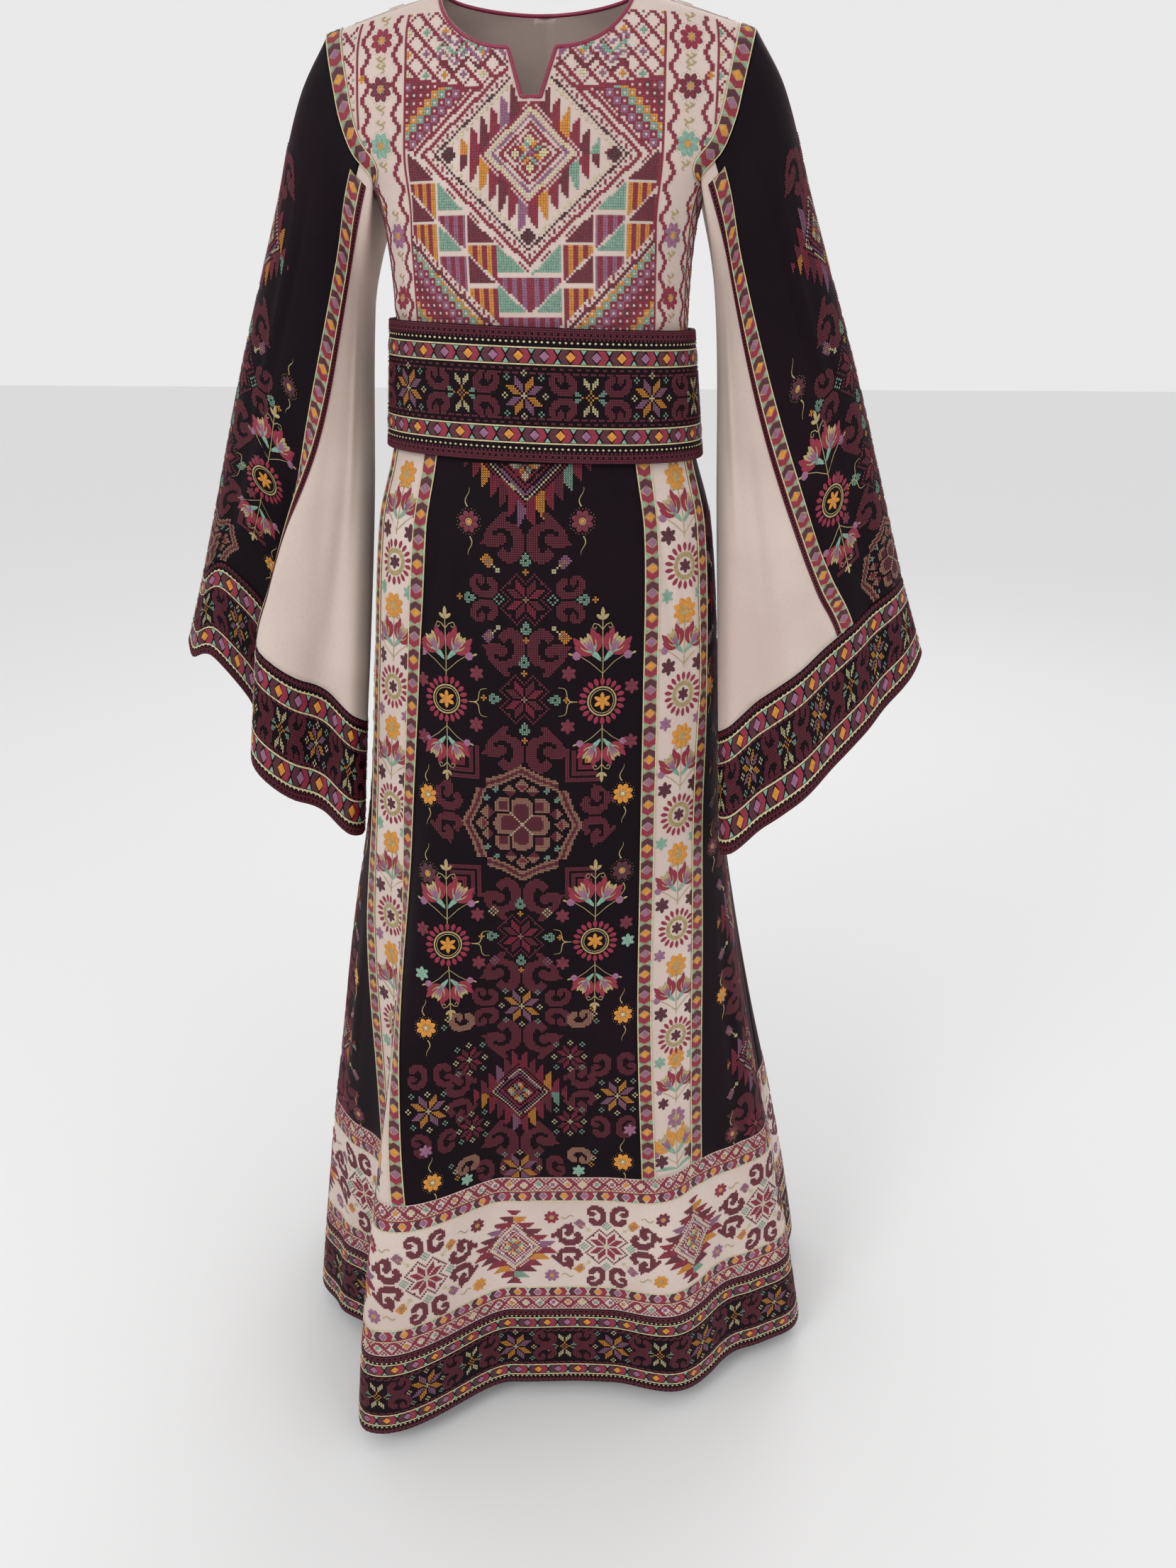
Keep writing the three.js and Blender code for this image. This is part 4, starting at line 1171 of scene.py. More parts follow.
def sleeve_from_outside(shape):
    """The sleeve with its degrees turned so that they grow to the right, seen from outside."""
    return lambda turn, down: sleeve(shape, turn * shape[0], down)


for name, shape in SLEEVES.items():
    side, form = shape[0], sleeve_from_outside(shape)
    for face, way in (("front", 1), ("back", -1)):
        centre = lambda down: way * side * sleeve_seam(shape, down)
        laid = Laid(form, centre, (2, SLEEVE_BAND_AT), (-14, 14), spread=30, step=2.0)
        ribbon(f"sleeve_ribbon_{name}_{face}", laid, 14, SLEEVE_BAND_AT - 1)
        bound = f"sleeve_binding_{name}_{face}"
        downs = np.linspace(14, SLEEVE_BAND_AT - 1, 76)[:, None]
        across = np.sort(-way * side * np.linspace(1.4, 12.8, 5))[None, :]
        strip = laid.at(across + 0 * downs, downs + 0 * across, 0.38)
        cloth_sheet(bound, strip, velvet, [], "burgundy_velvet", thickness=0.25)
        inner = -12.9 if across.min() < 0 else 7.7
        chart = Chart((inner, inner + 5.3), (15, SLEEVE_BAND_AT - 2), 1.8)
        j, i = np.indices(chart.threads.shape)
        chart.fill((i != 1) | (j % 2 == 0), "maroon")
        cross_stitches(f"{bound}_crosses", laid, chart, 0.3, 0, 1.3)


def follow(line, along, at):
    """Points at some lengths along a line, whose own points lie at the lengths given."""
    return np.stack([np.interp(at, along, line[:, k]) for k in range(3)], -1)


class Edged(Laid):
    """The bodice beside an armhole: across from the armhole's edge, and down from the shoulder."""

    def __init__(self, side, front, step=2.0):
        rows = np.linspace(BODICE_ROWS - 0.1, UNDERARM_ROW + 0.5, 75)
        shares = np.linspace(1, 0.78, 40)
        grid = np.stack([bodice(side * share, rows, front) for share in shares], 1)
        far = lengths(grid, 1)
        shares = np.arange(0, 24 + step, step)
        flat = np.stack([follow(line, row, shares) for row, line in zip(far, grid)])
        along = lengths(flat, 0)[:, 4]
        self.downs = np.arange(0, along[-1], step)
        self.points = np.stack([follow(flat[:, i], along, self.downs) for i in range(len(shares))], 1)
        self.away = -side if front else side  # 1 where the ribbon lies to the right of the armhole's edge
        self.points = self.points[:, :: self.away]
        self.low, self.step = min(0, 24 * self.away), step
        self.across = self.low + shares
        self.normals = grid_normals(self.points)


for name, side in (("left", -1), ("right", 1)):
    for face, front in (("front", True), ("back", False)):
        laid = Edged(side, front)
        middle = steady(laid.away * RIBBON_WIDTH / 2)
        ribbon(f"armhole_ribbon_{name}_{face}", laid, 1, laid.downs[-1] - 2, middle)


# The belt's embroidery
# Maroon cross stitch edges the velvet above and below, then come cream dots and the diamond trim. Scrolls and
# eight-pointed star flowers alternate in the middle.
SCROLL = (
    "..####.......",
    ".######.###..",
    "###.###.####.",
    "###.###.#####",
    "###..#...####",
    "####......###",
    ".####....####",
    ".############",
    "..##########.",
    "....#######..",
)
HEART_SCROLL = (
    ".......###..........",
    ".......####.........",
    "........####........",
    "........#####.......",
    "......########......",
    "...############.....",
    "..##############....",
    ".#######....#####...",
    ".#####........###...",
    "######...###..####..",
    "#####...##########..",
    "#####...##########..",
    "#####...###########.",
    "#####....###########",
    "#####......######...",
    "######...#..........",
    "######..###.........",
    ".###########........",
    ".###########........",
    "..#########.........",
    "...#######..........",
    ".....###............",
)
LEAF_PAIR = ("m.....m", "mm...mm", "mmm.mmm", ".mm.mm.", "..m.m..", "...g...")
TIP = ("...mm......", ".mmmmm..g..", "mmm.mm.ggg.", ".mmmmm..g..", "...mm......")
BUD = (
    "..aa.....",
    ".aaaa....",
    "aaabaa...",
    ".abbba...",
    "..aabc...",
    "...aa.c..",
    ".......cc",
    ".......cc",
)
RING = ("..a..", ".a.a.", "a.b.a", ".a.a.", "..a..")
SPARK = (".a.", "a.a", ".a.")
HEM_SQUARE = 2.1
FINE_SQUARE = 1.9


def scrolls(chart, x, y, mirror, apart):
    """Two C-shaped scrolls, one the mirror of the other across a level line."""
    for up in (-1, 1):
        chart.stamp(SCROLL, x, y + up * apart * chart.square, {"#": "maroon"}, mirror, up > 0)


def upright_scrolls(chart, x, y, flip, apart=6.2):
    """Two C-shaped scrolls side by side, back to back across an upright line."""
    for way in (-1, 1):
        chart.stamp(SCROLL, x + way * apart * chart.square, y, {"#": "maroon"}, way > 0, flip, True)


def heart_scrolls(chart, x, y, flip, turned=False):
    """Two long-leaved scrolls that make a heart; turned ones are smaller and lie on their side."""
    for way in (-1, 1):
        dx, dy = (0, way * 8) if turned else (way * 10.5, 0)
        rows = [row[::way] for row in HEART_SCROLL]
        if turned:
            rows = [[row[i] for i in range(20) if i % 4 != 1] for j, row in enumerate(rows) if j % 4 != 3]
            rows = ["".join(column) for column in zip(*rows)]
            rows = [row[::-1] for row in rows] if flip else rows
        place = (x + dx * chart.square, y + dy * chart.square)
        chart.stamp(rows, *place, {"#": "maroon"}, False, flip and not turned)


def bud(chart, x, y, thread, mirror, flip=False):
    """A bud that leans away from a corner, with its stem."""
    chart.stamp(BUD, x, y, {"a": thread, "b": "tan", "c": "cream"}, mirror, flip)


def repeats(start, end, first, repeat):
    """Places of a repeat that fills a run, with one to spare at each end."""
    low, high = math.floor((start - first) / repeat) - 1, math.ceil((end - first) / repeat) + 2
    return [first + k * repeat for k in range(low, high)]


def star_flower(chart, x, y, arm=4, first="gold", second="lilac"):
    """The large star flower of two colours, with eight sparks round it."""
    chart.star(x, y, arm, first, second, "cream")
    far = (2 * arm + 1.5) * chart.square
    for k in range(8):
        angle = math.pi / 4 * k
        long = far if k % 2 == 0 else far * 1.22
        thread = ("cream", "mint")[k % 2]
        chart.stamp(SPARK, x + long * math.sin(angle), y + long * math.cos(angle), {"a": thread})


def small_flower(chart, x, y):
    """Four pointed leaves in mint and cream round a gold heart."""
    step = 5.2 * chart.square
    for way in (-1, 1):
        chart.stamp(LEAF_PAIR, x, y + way * step, {"m": "cream", "g": "gold"}, False, way > 0)
        chart.stamp(LEAF_PAIR, x + way * step * 1.15, y, {"m": "mint", "g": "gold"}, way > 0, False, True)
    chart.stamp(RING, x, y, {"a": "gold", "b": "lilac"})


def edging(chart, start, height, way=1):
    """Rows of close cross stitch at an edge, with one row of gaps and a dotted row beyond."""
    j = np.floor((chart.y - start) * way / chart.square)
    rows = max(2, round(height / chart.square))
    i = np.arange(chart.x.size)[None, :]
    chart.fill((j >= 0) & (j < rows) & ~((j == rows // 2) & (i % 3 == 0)), "maroon")
    chart.fill((j == rows) & (i % 2 == 0), "maroon")


def band_rows(chart, work, height, edge, dots, trimmed, dash, margin=1.0):
    """The rows that belt, hem band and sleeve bands share, the same from both edges."""
    for start, way in ((0, 1), (height, -1)):
        edging(chart, start, edge, way)
        for row, gap in ((dash[0], 0), (dash[1], 1)):
            j = np.floor((chart.y - start) * way / chart.square) == round(row / chart.square)
            chart.fill(j & ((np.arange(chart.x.size)[None, :] + gap) % 4 > 1 - gap), "maroon")

        def place(along, reach, row=start):
            return (along, row + reach)

        level = start + way * trimmed
        ends = work.laid.span(level, margin)
        trim(work, lambda t, r: place(t, r, level), *ends, half=5.8, edge=6.9)
        level_dots = start + way * dots
        dotted(work, lambda t, r: place(t, r, level_dots), *work.laid.span(level_dots, margin))


def field_of_scrolls(chart, middle, start, end, repeat, first=0.0, small=False):
    """Star flowers and small flowers in turn, with a pair of scrolls on each side of every one."""
    for x in repeats(start, end, first, repeat):
        star_flower(chart, x, middle, 3 if small else 4)
        small_flower(chart, x + repeat / 2, middle)
        for way in (-1, 1):
            scrolls(chart, x + way * repeat * 0.29, middle, way < 0, 5.2)


belt_laid = Laid(
    belt_points,
    0,
    (0, BELT_HEIGHT),
    (-450, 450),
    (steady(-BELT_END + 0.5), steady(BELT_END - 0.5)),
    BELT_END,
)
belt_chart = Chart((-450, 450), (0.6, BELT_HEIGHT - 0.6), FINE_SQUARE)
belt_work = Satin(belt_laid)
band_rows(belt_chart, belt_work, BELT_HEIGHT, 7.5, 12.0, 23.5, (33.0, 35.5), 3.0)
field_of_scrolls(belt_chart, BELT_HEIGHT / 2, -450, 450, 116, -6)
cross_stitches("belt_crosses", belt_laid, belt_chart)
belt_work.make("belt_trim")


# The hem's embroidery
# The cream border has serrated medallions and eight-pointed stars among scrolls and daisies, between two
# diamond trims and two rows of lattice. The velvet band under it is worked like the belt.
BORDER_REPEAT = 208
BORDER_FIRST = -28
BORDER_HEIGHT = BORDER_TOP_Z - BAND_TOP_Z
BAND_HEIGHT = BAND_TOP_Z + DRESS_LENGTH


def lattice(chart, top, height):
    """A row of crossed diamonds with a small coloured diamond in every other one."""
    half = height / 2
    u = (chart.x + half) % (2 * half) - half
    v = chart.y - top - half
    r = np.abs(u) + np.abs(v)
    turn = np.floor((chart.x + half) / (2 * half)).astype(int) % 4
    inside = np.abs(v) < half
    line = chart.square * 0.75
    chart.fill(inside & (np.abs(r - half * 0.93) < line), "crimson")
    checked = (np.indices(chart.threads.shape).sum(0) % 2) == 0
    chart.fill(inside & (r > half * 0.93 + line) & checked, "crimson")
    for k, colour in enumerate(("mint", "lilac", "gold", "cream")):
        chart.fill(inside & (r < half * 0.42) & (turn == k), colour)
    chart.fill((np.abs(v) > half * 0.99) & (np.abs(v) < half * 0.99 + chart.square), "crimson")


MEDALLION_RINGS = (
    # from, to, thread, as shares of the way from the middle to the tips of the comb
    (0.61, 0.66, "crimson"),
    (0.54, 0.58, "cream"),
    (0.46, 0.51, "lilac"),
    (0.35, 0.41, "crimson"),
)
COMB = ("crimson", "maroon", "lilac", "crimson", "maroon", "crimson", "gold", "crimson", "maroon", "mint")


def medallion(chart, x, y, half_x, half_y, sideways=False):
    """A serrated diamond: a star in a lattice, three rings, and a comb of teeth round it."""
    u, v = chart.x - x, chart.y - y
    if sideways:
        u, v, half_x, half_y = v + 0 * u, u + 0 * v, half_y, half_x
    else:
        u, v = u + 0 * v, v + 0 * u
    a, b = np.abs(u) / half_x, np.abs(v) / half_y
    r = a + b
    tooth = 4 * chart.square
    k = np.floor(np.abs(u) / tooth)
    share = np.abs(u) / tooth - k
    reach = 1.0 - k * tooth / half_x - 0.17 * (1 - share)
    teeth = (b < reach) & (r > 0.66) & ((share > 0.2) | (r < 0.8))
    for m, colour in enumerate(COMB):
        turn = (k + np.where(v > 0, 2, 0) + np.where(u > 0, 3, 0)) % len(COMB)
        chart.fill(teeth & (turn == m), colour)
    chart.fill(r < 0.68, None)
    for low, high, colour in MEDALLION_RINGS:
        chart.fill((r >= low) & (r < high), colour)
    lines = np.abs(np.abs(u / half_x) - np.abs(v / half_y)) < 0.022
    chart.fill(lines & (r < 0.36), "crimson")
    for dx, dy in ((0.18, 0), (-0.18, 0), (0, 0.18), (0, -0.18)):
        box = np.abs(u / half_x - dx) + np.abs(v / half_y - dy)
        chart.fill(box < 0.125, "crimson")
        chart.fill(box < 0.07, "cream")
    chart.star(x, y, max(2, round(half_x * 0.075 / chart.square)), "gold", "mint", "lilac")


def daisy_with_tendrils(work, x, y, thread, radius, heart="gold"):
    work.daisy(x, y, radius, thread, heart)
    work.tendril(x - 1, y - radius * 1.25, -1, 1)
    work.tendril(x + 1, y + radius * 1.25, 1, -1)


def border_field(chart, work, first, ends):
    middle = BORDER_HEIGHT / 2 + 2
    for x in repeats(*ends, first, BORDER_REPEAT):
        medallion(chart, x, middle, 47, 52, True)
        star = x + BORDER_REPEAT / 2
        chart.star(star, middle, 4, "crimson", None, "cream")
        chart.outline_star(star, middle, 4, "maroon")
        for way in (-1, 1):
            upright_scrolls(chart, star, middle + way * 42, way > 0)
            chart.stamp(RING, star, middle + way * 27, {"a": "mint", "b": "mint"})
            heart_scrolls(chart, star + way * 44, middle, way > 0, True)
            chart.stamp(RING, star + way * 26, middle, {"a": "mint", "b": "mint"})
            for up in (-1, 1):
                thread = ("gold", "lilac")[(way > 0) == (up > 0)]
                bud(chart, star + way * 27, middle + up * 29, thread, way > 0, up > 0)
                daisy = (x + way * 42, middle + up * 40)
                colour = ("maroon", "gold", "crimson", "lilac")[(up > 0) * 1 + (way > 0) * 2]
                work.daisy(*daisy, 8.5, colour, "gold", outline=False)
                line = []
                for t in np.linspace(0, 1, 7):
                    line.append((daisy[0] + way * (11 + 13 * t), daisy[1] - up * 2.5 * math.sin(6 * t)))
                work.cord(line, "metal", 1.1)


for face, centre, reach, first in (("front", 0, SIDE_SEAM, BORDER_FIRST), ("back", 180, 180 - SIDE_SEAM, 0)):
    seams = (steady(centre - reach + 0.1), steady(centre + reach - 0.1))
    laid = Laid(lambda t, d: body(t, BORDER_TOP_Z - d), centre, (0, BORDER_HEIGHT), (-520, 520), seams, 130)
    ends = (laid.ends[0].min(), laid.ends[1].max())
    chart = Chart((-520, 520), (0.8, BORDER_HEIGHT - 0.8), HEM_SQUARE)
    work = Satin(laid)
    for top, level in ((1.0, 24), (BORDER_HEIGHT - 18, BORDER_HEIGHT - 25)):
        lattice(chart, top, 16)
        trim(work, lambda t, r, at=level: (t, at + r), *laid.span(level), half=5.8, edge=6.9)
    border_field(chart, work, first, ends)
    cross_stitches(f"hem_border_{face}_crosses", laid, chart, 0.36)
    work.make(f"hem_border_{face}_satin", 0.3)

    laid = Laid(lambda t, d: body(t, BAND_TOP_Z - d), centre, (0, BAND_HEIGHT), (-540, 540), seams, 130)
    ends = (laid.ends[0].min(), laid.ends[1].max())
    chart = Chart((-540, 540), (0.8, BAND_HEIGHT - 0.8), HEM_SQUARE)
    work = Satin(laid)
    band_rows(chart, work, BAND_HEIGHT, 5.5, 9.5, 19.0, (28.0, 30.4))
    field_of_scrolls(chart, BAND_HEIGHT / 2, *ends, 112, first)
    cross_stitches(f"hem_band_{face}_crosses", laid, chart)
    work.make(f"hem_band_{face}_trim")


# The skirt's embroidery
# Scrolls, stars, a rosette and a serrated diamond are cross-stitched down the middle of the velvet front, and
# satin trees and daisies stand beside them. The cream strips have one satin repeat from belt to hem, and the
# velvet sides have a column of serrated diamonds.
skirt_seams = (seam_down("inner_left"), seam_down("inner_right"))
skirt_laid = Laid(dress, 0, SKIRT_DOWNS, (-190, 190), skirt_seams, 90)
skirt_chart = Chart((-170, 170), (386, -BORDER_TOP_Z - 1), HEM_SQUARE)
skirt_work = Satin(skirt_laid)


def cross_of_flowers(chart, x, y, arm, wide=False):
    """An eight-pointed star in its stepped outline, with mint tips on four sides."""
    chart.star(x, y, arm, "maroon", "crimson", "tan")
    chart.outline_star(x, y, arm, "maroon")
    far = (2 * arm + 8) * chart.square
    for way in (-1, 1):
        chart.stamp(TIP, x, y + way * far * 0.95, {"m": "mint", "g": "gold"}, way < 0, False, True)
        if wide:
            scrolls(chart, x + way * 41, y, way > 0, 5.4)
            chart.stamp(TIP, x + way * 59, y, {"m": "mint", "g": "gold"}, way < 0)
            chart.stamp(RING, x + way * 25, y, {"a": "mint"})
        else:
            chart.stamp(TIP, x + way * far, y, {"m": "mint", "g": "gold"}, way < 0)


def rosette(chart, x, y, half_x, half_y):
    """A wide flower of pointed petals in a wavy frame of three lines."""
    u, v = (chart.x - x) / half_x + 0 * chart.y, (chart.y - y) / half_y + 0 * chart.x
    a, b = np.abs(u), np.abs(v)
    far, near = np.maximum(a, b), np.minimum(a, b)
    frame = far + 0.52 * np.minimum(near, 0.3) + 0.34 * np.maximum(near - 0.3, 0)
    for low, high, thread in ((0.94, 1.0, "tan"), (0.885, 0.94, "maroon"), (0.83, 0.885, "tan")):
        chart.fill((frame > low) & (frame <= high) & (near < 0.6), thread)
    petal = far + 0.75 * near**1.3
    chart.fill((petal < 0.47) & (near < 0.18), "tan")
    chart.fill((petal < 0.36) & (near < 0.125), "maroon")
    chart.fill((np.abs(a - b) < 0.02) & (far < 0.2), "cream")
    square = np.maximum(np.abs(a - 0.33), np.abs(b - 0.33))
    chart.fill(square < 0.125, "tan")
    chart.fill((square < 0.125) & (a + b > 0.82), None)
    chart.fill(np.maximum(np.abs(a - 0.3), np.abs(b - 0.3)) < 0.07, "maroon")
    bud = np.abs(far - 0.66) * 0.9 + near
    chart.fill(bud < 0.115, "tan")
    chart.fill((bud < 0.08) & (far < 0.67), "crimson")
    bud = np.abs(far - 0.57) + np.abs(near - 0.19)
    chart.fill(bud < 0.11, "tan")
    chart.fill((bud < 0.11) & (far < 0.56), "maroon")
    chart.fill(np.abs(far - 0.58) + np.abs(near - 0.42) < 0.06, "mint")


def chevrons(chart, x, y, across, down):
    """Nested corner lines that point to the middle of the rosette's frame."""
    u, v = (chart.x - x) * across + 0 * chart.y, (chart.y - y) * down + 0 * chart.x
    corner = np.minimum(u, v)
    for k, thread in enumerate(("maroon", "maroon", "crimson", "gold")):
        low = k * 6.6
        arm = (corner >= low) & (corner < low + 4.4) & (np.maximum(u, v) < 34 - 3 * k)
        chart.fill(arm, thread)


def tree(work, x, y):
    """A sunflower with a tulip spray above and another upside down below."""
    work.sunflower(x, y, 23, "gold")
    work.spray(x, y - 23, 1, 1.3)
    work.spray(x, y + 23, -1, 1.12)
    way = 1 if x < -10 else -1
    work.cord([(x + way * 24, y), (x + way * 29, y)], "metal", 0.9)
    for up in (-1, 1):
        line = []
        for t in np.linspace(0, 1, 8):
            wave = math.sin(7 * t)
            line.append((x + way * (28 + 13 * t + 1.5 * wave), y - up * (15 * t - 2 * wave)))
        work.ridge(line, [1.2 - 0.8 * k / 7 for k in range(8)], "metal", 0.6)


medallion(skirt_chart, -7, 386, 58, 56)
for x, level, flip in (
    (-7, 452, False),
    (-7, 556, True),
    (-10, 651, False),
    (-13, 806, True),
    (-16, 888, False),
    (-16, 966, True),
    (-19, 1088, False),
):
    heart_scrolls(skirt_chart, x, level, flip)
for x, level, arm in ((-7, 507, 4), (-10, 602, 4), (-16, 847, 4)):
    cross_of_flowers(skirt_chart, x, level, arm, level == 507)
for way in (-1, 1):
    scrolls(skirt_chart, -16 + way * 38, 927, way > 0, 5.2)
    upright_scrolls(skirt_chart, -19 + way * 26, 1122, way > 0)
    heart_scrolls(skirt_chart, -13 + way * 76, 716, way > 0, True)
    heart_scrolls(skirt_chart, -19 + way * 64, 1026, way < 0, True)
    for up in (-1, 1):
        thread = ("gold", "lilac")[(way > 0) == (up < 0)]
        bud(skirt_chart, -7 + way * 33, 507 + up * 32, thread, way > 0, up > 0)
        skirt_chart.stamp(RING, -16 + way * 27, 847 + up * 27, {"a": ("cream", "lilac")[up > 0], "b": "tan"})
        chevrons(skirt_chart, -13 + way * 42, 726 + up * 44, way, up)
        star_flower(skirt_chart, -19 + way * 53, 1029 + up * 40 - 4, 3, "crimson", "maroon")
    star_flower(skirt_chart, -17 + way * 102, 1034, 4)
    for up in (-1, 1):
        upright_scrolls(skirt_chart, -17 + way * 98, 1034 + up * 38, up < 0, 6.6)
        x, level = -17 + way * 62, 1024 + up * 84
        skirt_chart.stamp(SCROLL, x, level, {"#": "tan"}, way > 0, up > 0)
        for k, thread in enumerate(("mint", "cream", "gold")):
            skirt_chart.stamp(SPARK, x + way * (18 - 3 * k), level + up * (8 * k - 4), {"a": thread})
star_flower(skirt_chart, -16, 927, 4)
star_flower(skirt_chart, -19, 1124, 4)
rosette(skirt_chart, -13, 726, 60, 60)
medallion(skirt_chart, -19, 1029, 52, 50)
for x, level in ((-88, 606), (65, 603), (-90, 855), (60, 852)):
    tree(skirt_work, x, level)
for x, level, thread in (
    (-61, 438, "maroon"),
    (45, 436, "maroon"),
    (-110, 704, "gold"),
    (87, 697, "gold"),
    (-110, 783, "plum"),
    (87, 777, "plum"),
    (-116, 943, "gold"),
    (90, 938, "gold"),
    (-119, 1116, "gold"),
    (92, 1116, "gold"),
):
    daisy_with_tendrils(skirt_work, x, level, thread, 10.5, "gold" if thread != "gold" else "cream")
for x, level, thread in (
    (-56, 578, "maroon"),
    (-114, 590, "maroon"),
    (-57, 628, "maroon"),
    (-114, 646, "maroon"),
    (33, 576, "maroon"),
    (94, 590, "maroon"),
    (32, 627, "maroon"),
    (94, 644, "maroon"),
    (-59, 823, "maroon"),
    (-116, 840, "maroon"),
    (-59, 876, "maroon"),
    (-118, 886, "mint"),
    (27, 823, "maroon"),
    (92, 834, "maroon"),
    (27, 876, "maroon"),
    (94, 854, "mint"),
    (-124, 1078, "lilac"),
    (99, 1076, "lilac"),
    (-80, 1126, "mint"),
    (44, 1128, "mint"),
):
    skirt_work.flower(x, level, 7.5, thread)
cross_stitches("skirt_front_crosses", skirt_laid, skirt_chart)
skirt_work.make("skirt_front_satin", 7.5)

STRIP_REPEAT = 123


def strip_repeat(work, x, y):
    """One repeat of the strips: daisy, forked tulips, two flowers, sun and two sprigs."""
    work.daisy(x, y, 13, "gold", "gold", outline=False)
    work.spray(x, y + 55, 1, 1.2)
    work.cord([(x, y + 12), (x, y + 22)], "metal", 1.1)
    for way in (-1, 1):
        work.flower(x + way * 18, y + 52, 8.5, "plum")
        work.flower(x + way * 20, y + 108, 7, "mint" if round(y / STRIP_REPEAT) % 2 else "lilac")
    for k in range(18):
        turn = 20 * k
        angle = math.radians(turn)
        work.leaf(x + math.sin(angle) * 13.8, y + 81 - math.cos(angle) * 13.8, turn, 8.2, 4.0, "crimson")
    for radius in (9.2, 10.3, 11.4, 12.4):
        work.ring(x, y + 81, radius, "metal", 1.15, 28)
    work.flower(x, y + 81, 6.8, "plum")


for side in ("left", "right"):
    inner, outer = seam_down(f"inner_{side}"), seam_down(f"outer_{side}")
    laid = Laid(dress, lambda d: (inner(d) + outer(d)) / 2, SKIRT_DOWNS, (-60, 60), spread=40, step=2.0)
    work = Satin(laid)
    for k in range(5):
        strip_repeat(work, 4, 401 + k * STRIP_REPEAT)
    work.daisy(4, 1001, 11, "gold", "gold", outline=False)
    work.spray(3, 1053, 1, 1.1)
    for turn in (-1, 1):
        work.flower(3 + turn * 16, 1050, 7, "plum")
        work.flower(2 + turn * 19, 1118, 8.5, "plum")
        work.leaf(2, 1132, turn * 62, 26, 4, "mint", 0.8, turn * 20)
    work.daisy(3, 1071, 12, "lilac", "gold", outline=False)
    work.spray(2, 1130, 1, 1.35, "gold")
    work.make(f"skirt_strip_{side}_satin")


for name, side in (("left", -1), ("right", 1)):
    outer = seam_down(f"outer_{name}")
    laid = Laid(dress, outer, SKIRT_DOWNS, (-200, 200), [outer, steady(side * SIDE_SEAM)][::side], 90)
    chart = Chart((-190, 190), (420, -BORDER_TOP_Z - 1), HEM_SQUARE)
    work = Satin(laid)
    for k, level in enumerate(range(520, 1100, 172)):
        x = side * (44 + (level - 420) * 0.07)
        medallion(chart, x, level, 40, 46)
        for up in (-1, 1):
            heart_scrolls(chart, x, level + up * 66, up > 0)
            for way in (-1, 1):
                bud(chart, x + way * 34, level + up * 36, "lilac", way > 0, up > 0)
        chart.star(x, level + 86, 4, "crimson", None, "tan")
        daisy_with_tendrils(work, x - side * 36, level + 86, ("gold", "maroon")[k % 2], 9)
        work.flower(x + side * 30, level + 86, 7, "maroon")
        work.flower(x + side * 52, level + 4, 7, "lilac")
    cross_stitches(f"skirt_side_{name}_crosses", laid, chart, margin=10)
    work.make(f"skirt_side_{name}_satin", 3)


# The sleeves' embroidery
# Scrolls, a serrated diamond, stars and a rosette run down the outside of each sleeve, towards its front,
# with satin trees beside them. The band round the mouth is worked like the hem's.
SLEEVE_CENTRE = 175
SLEEVE_SQUARE = 1.6
for name, shape in SLEEVES.items():
    side, form = shape[0], sleeve_from_outside(shape)
    limits = [lambda d, s=s: side * SLEEVE_CENTRE + s * (178 - sleeve_seam(shape, d)) for s in (-1, 1)]
    laid = Laid(form, side * SLEEVE_CENTRE, (0, SLEEVE_BAND_AT), (-170, 170), limits, 150)
    chart = Chart((-130, 130), (96, SLEEVE_BAND_AT - 2), HEM_SQUARE)
    work = Satin(laid)
    middle = -18 * side  # towards the front
    medallion(chart, middle, 172, 46, 50)
    for level, flip in ((112, False), (243, False), (341, True), (421, False)):
        heart_scrolls(chart, middle, level, flip)
    cross_of_flowers(chart, middle, 292, 4, True)
    cross_of_flowers(chart, middle, 382, 4)
    rosette(chart, middle, 492, 50, 52)
    for way in (-1, 1):
        bud(chart, middle + way * 27, 260, "lilac", way > 0)
        tree(work, middle + way * 61, 382)
        chevrons(chart, middle + way * 42, 456, way, -1)
        daisy_with_tendrils(work, middle + way * 74, 262, "plum", 9)
        daisy_with_tendrils(work, middle + way * 88, 470, "gold", 9, "cream")
        for x, level in ((106, 360), (50, 366), (104, 402), (50, 408)):
            work.flower(middle + way * x, level, 6, "maroon")
    cross_stitches(f"sleeve_{name}_crosses", laid, chart, margin=9)
    work.make(f"sleeve_{name}_satin", 7.5)

    height = SLEEVE_LENGTH - SLEEVE_BAND_AT
    whole = (steady(side * 90 - 179.9), steady(side * 90 + 179.9))
    mouth = lambda t, d: form(t, SLEEVE_BAND_AT + d)
    laid = Laid(mouth, side * 90, (0, height), (-320, 320), whole, 180, 2.0)
    ends = (laid.ends[0].min(), laid.ends[1].max())
    chart = Chart((-320, 320), (0.8, height - 0.6), SLEEVE_SQUARE)
    work = Satin(laid)
    band_rows(chart, work, height, 4.5, 8.0, 15.5, (23.0, 24.6), 0.3)
    field_of_scrolls(chart, height / 2, *ends, 88, 0, True)
    cross_stitches(f"sleeve_band_{name}_crosses", laid, chart, margin=0)
    work.make(f"sleeve_band_{name}_trim")


# The bodice's embroidery
# The front is covered in counted cross stitch from neck to belt: a serrated star in a rhombus, two bands of
# stepped triangles below it, rows of small squares in the corners, and a strip of daisies at each side.
RHOMBUS_Z = -137
RHOMBUS = (88, 79)


def bodice_limits(side):
    def turn(down):
        z = -np.asarray(down, float)
        x = np.interp(z, ARMHOLE["z"], ARMHOLE["x"])
        return side * np.where(z > UNDERARM_Z, turn_at(x, z), 90)

    return turn


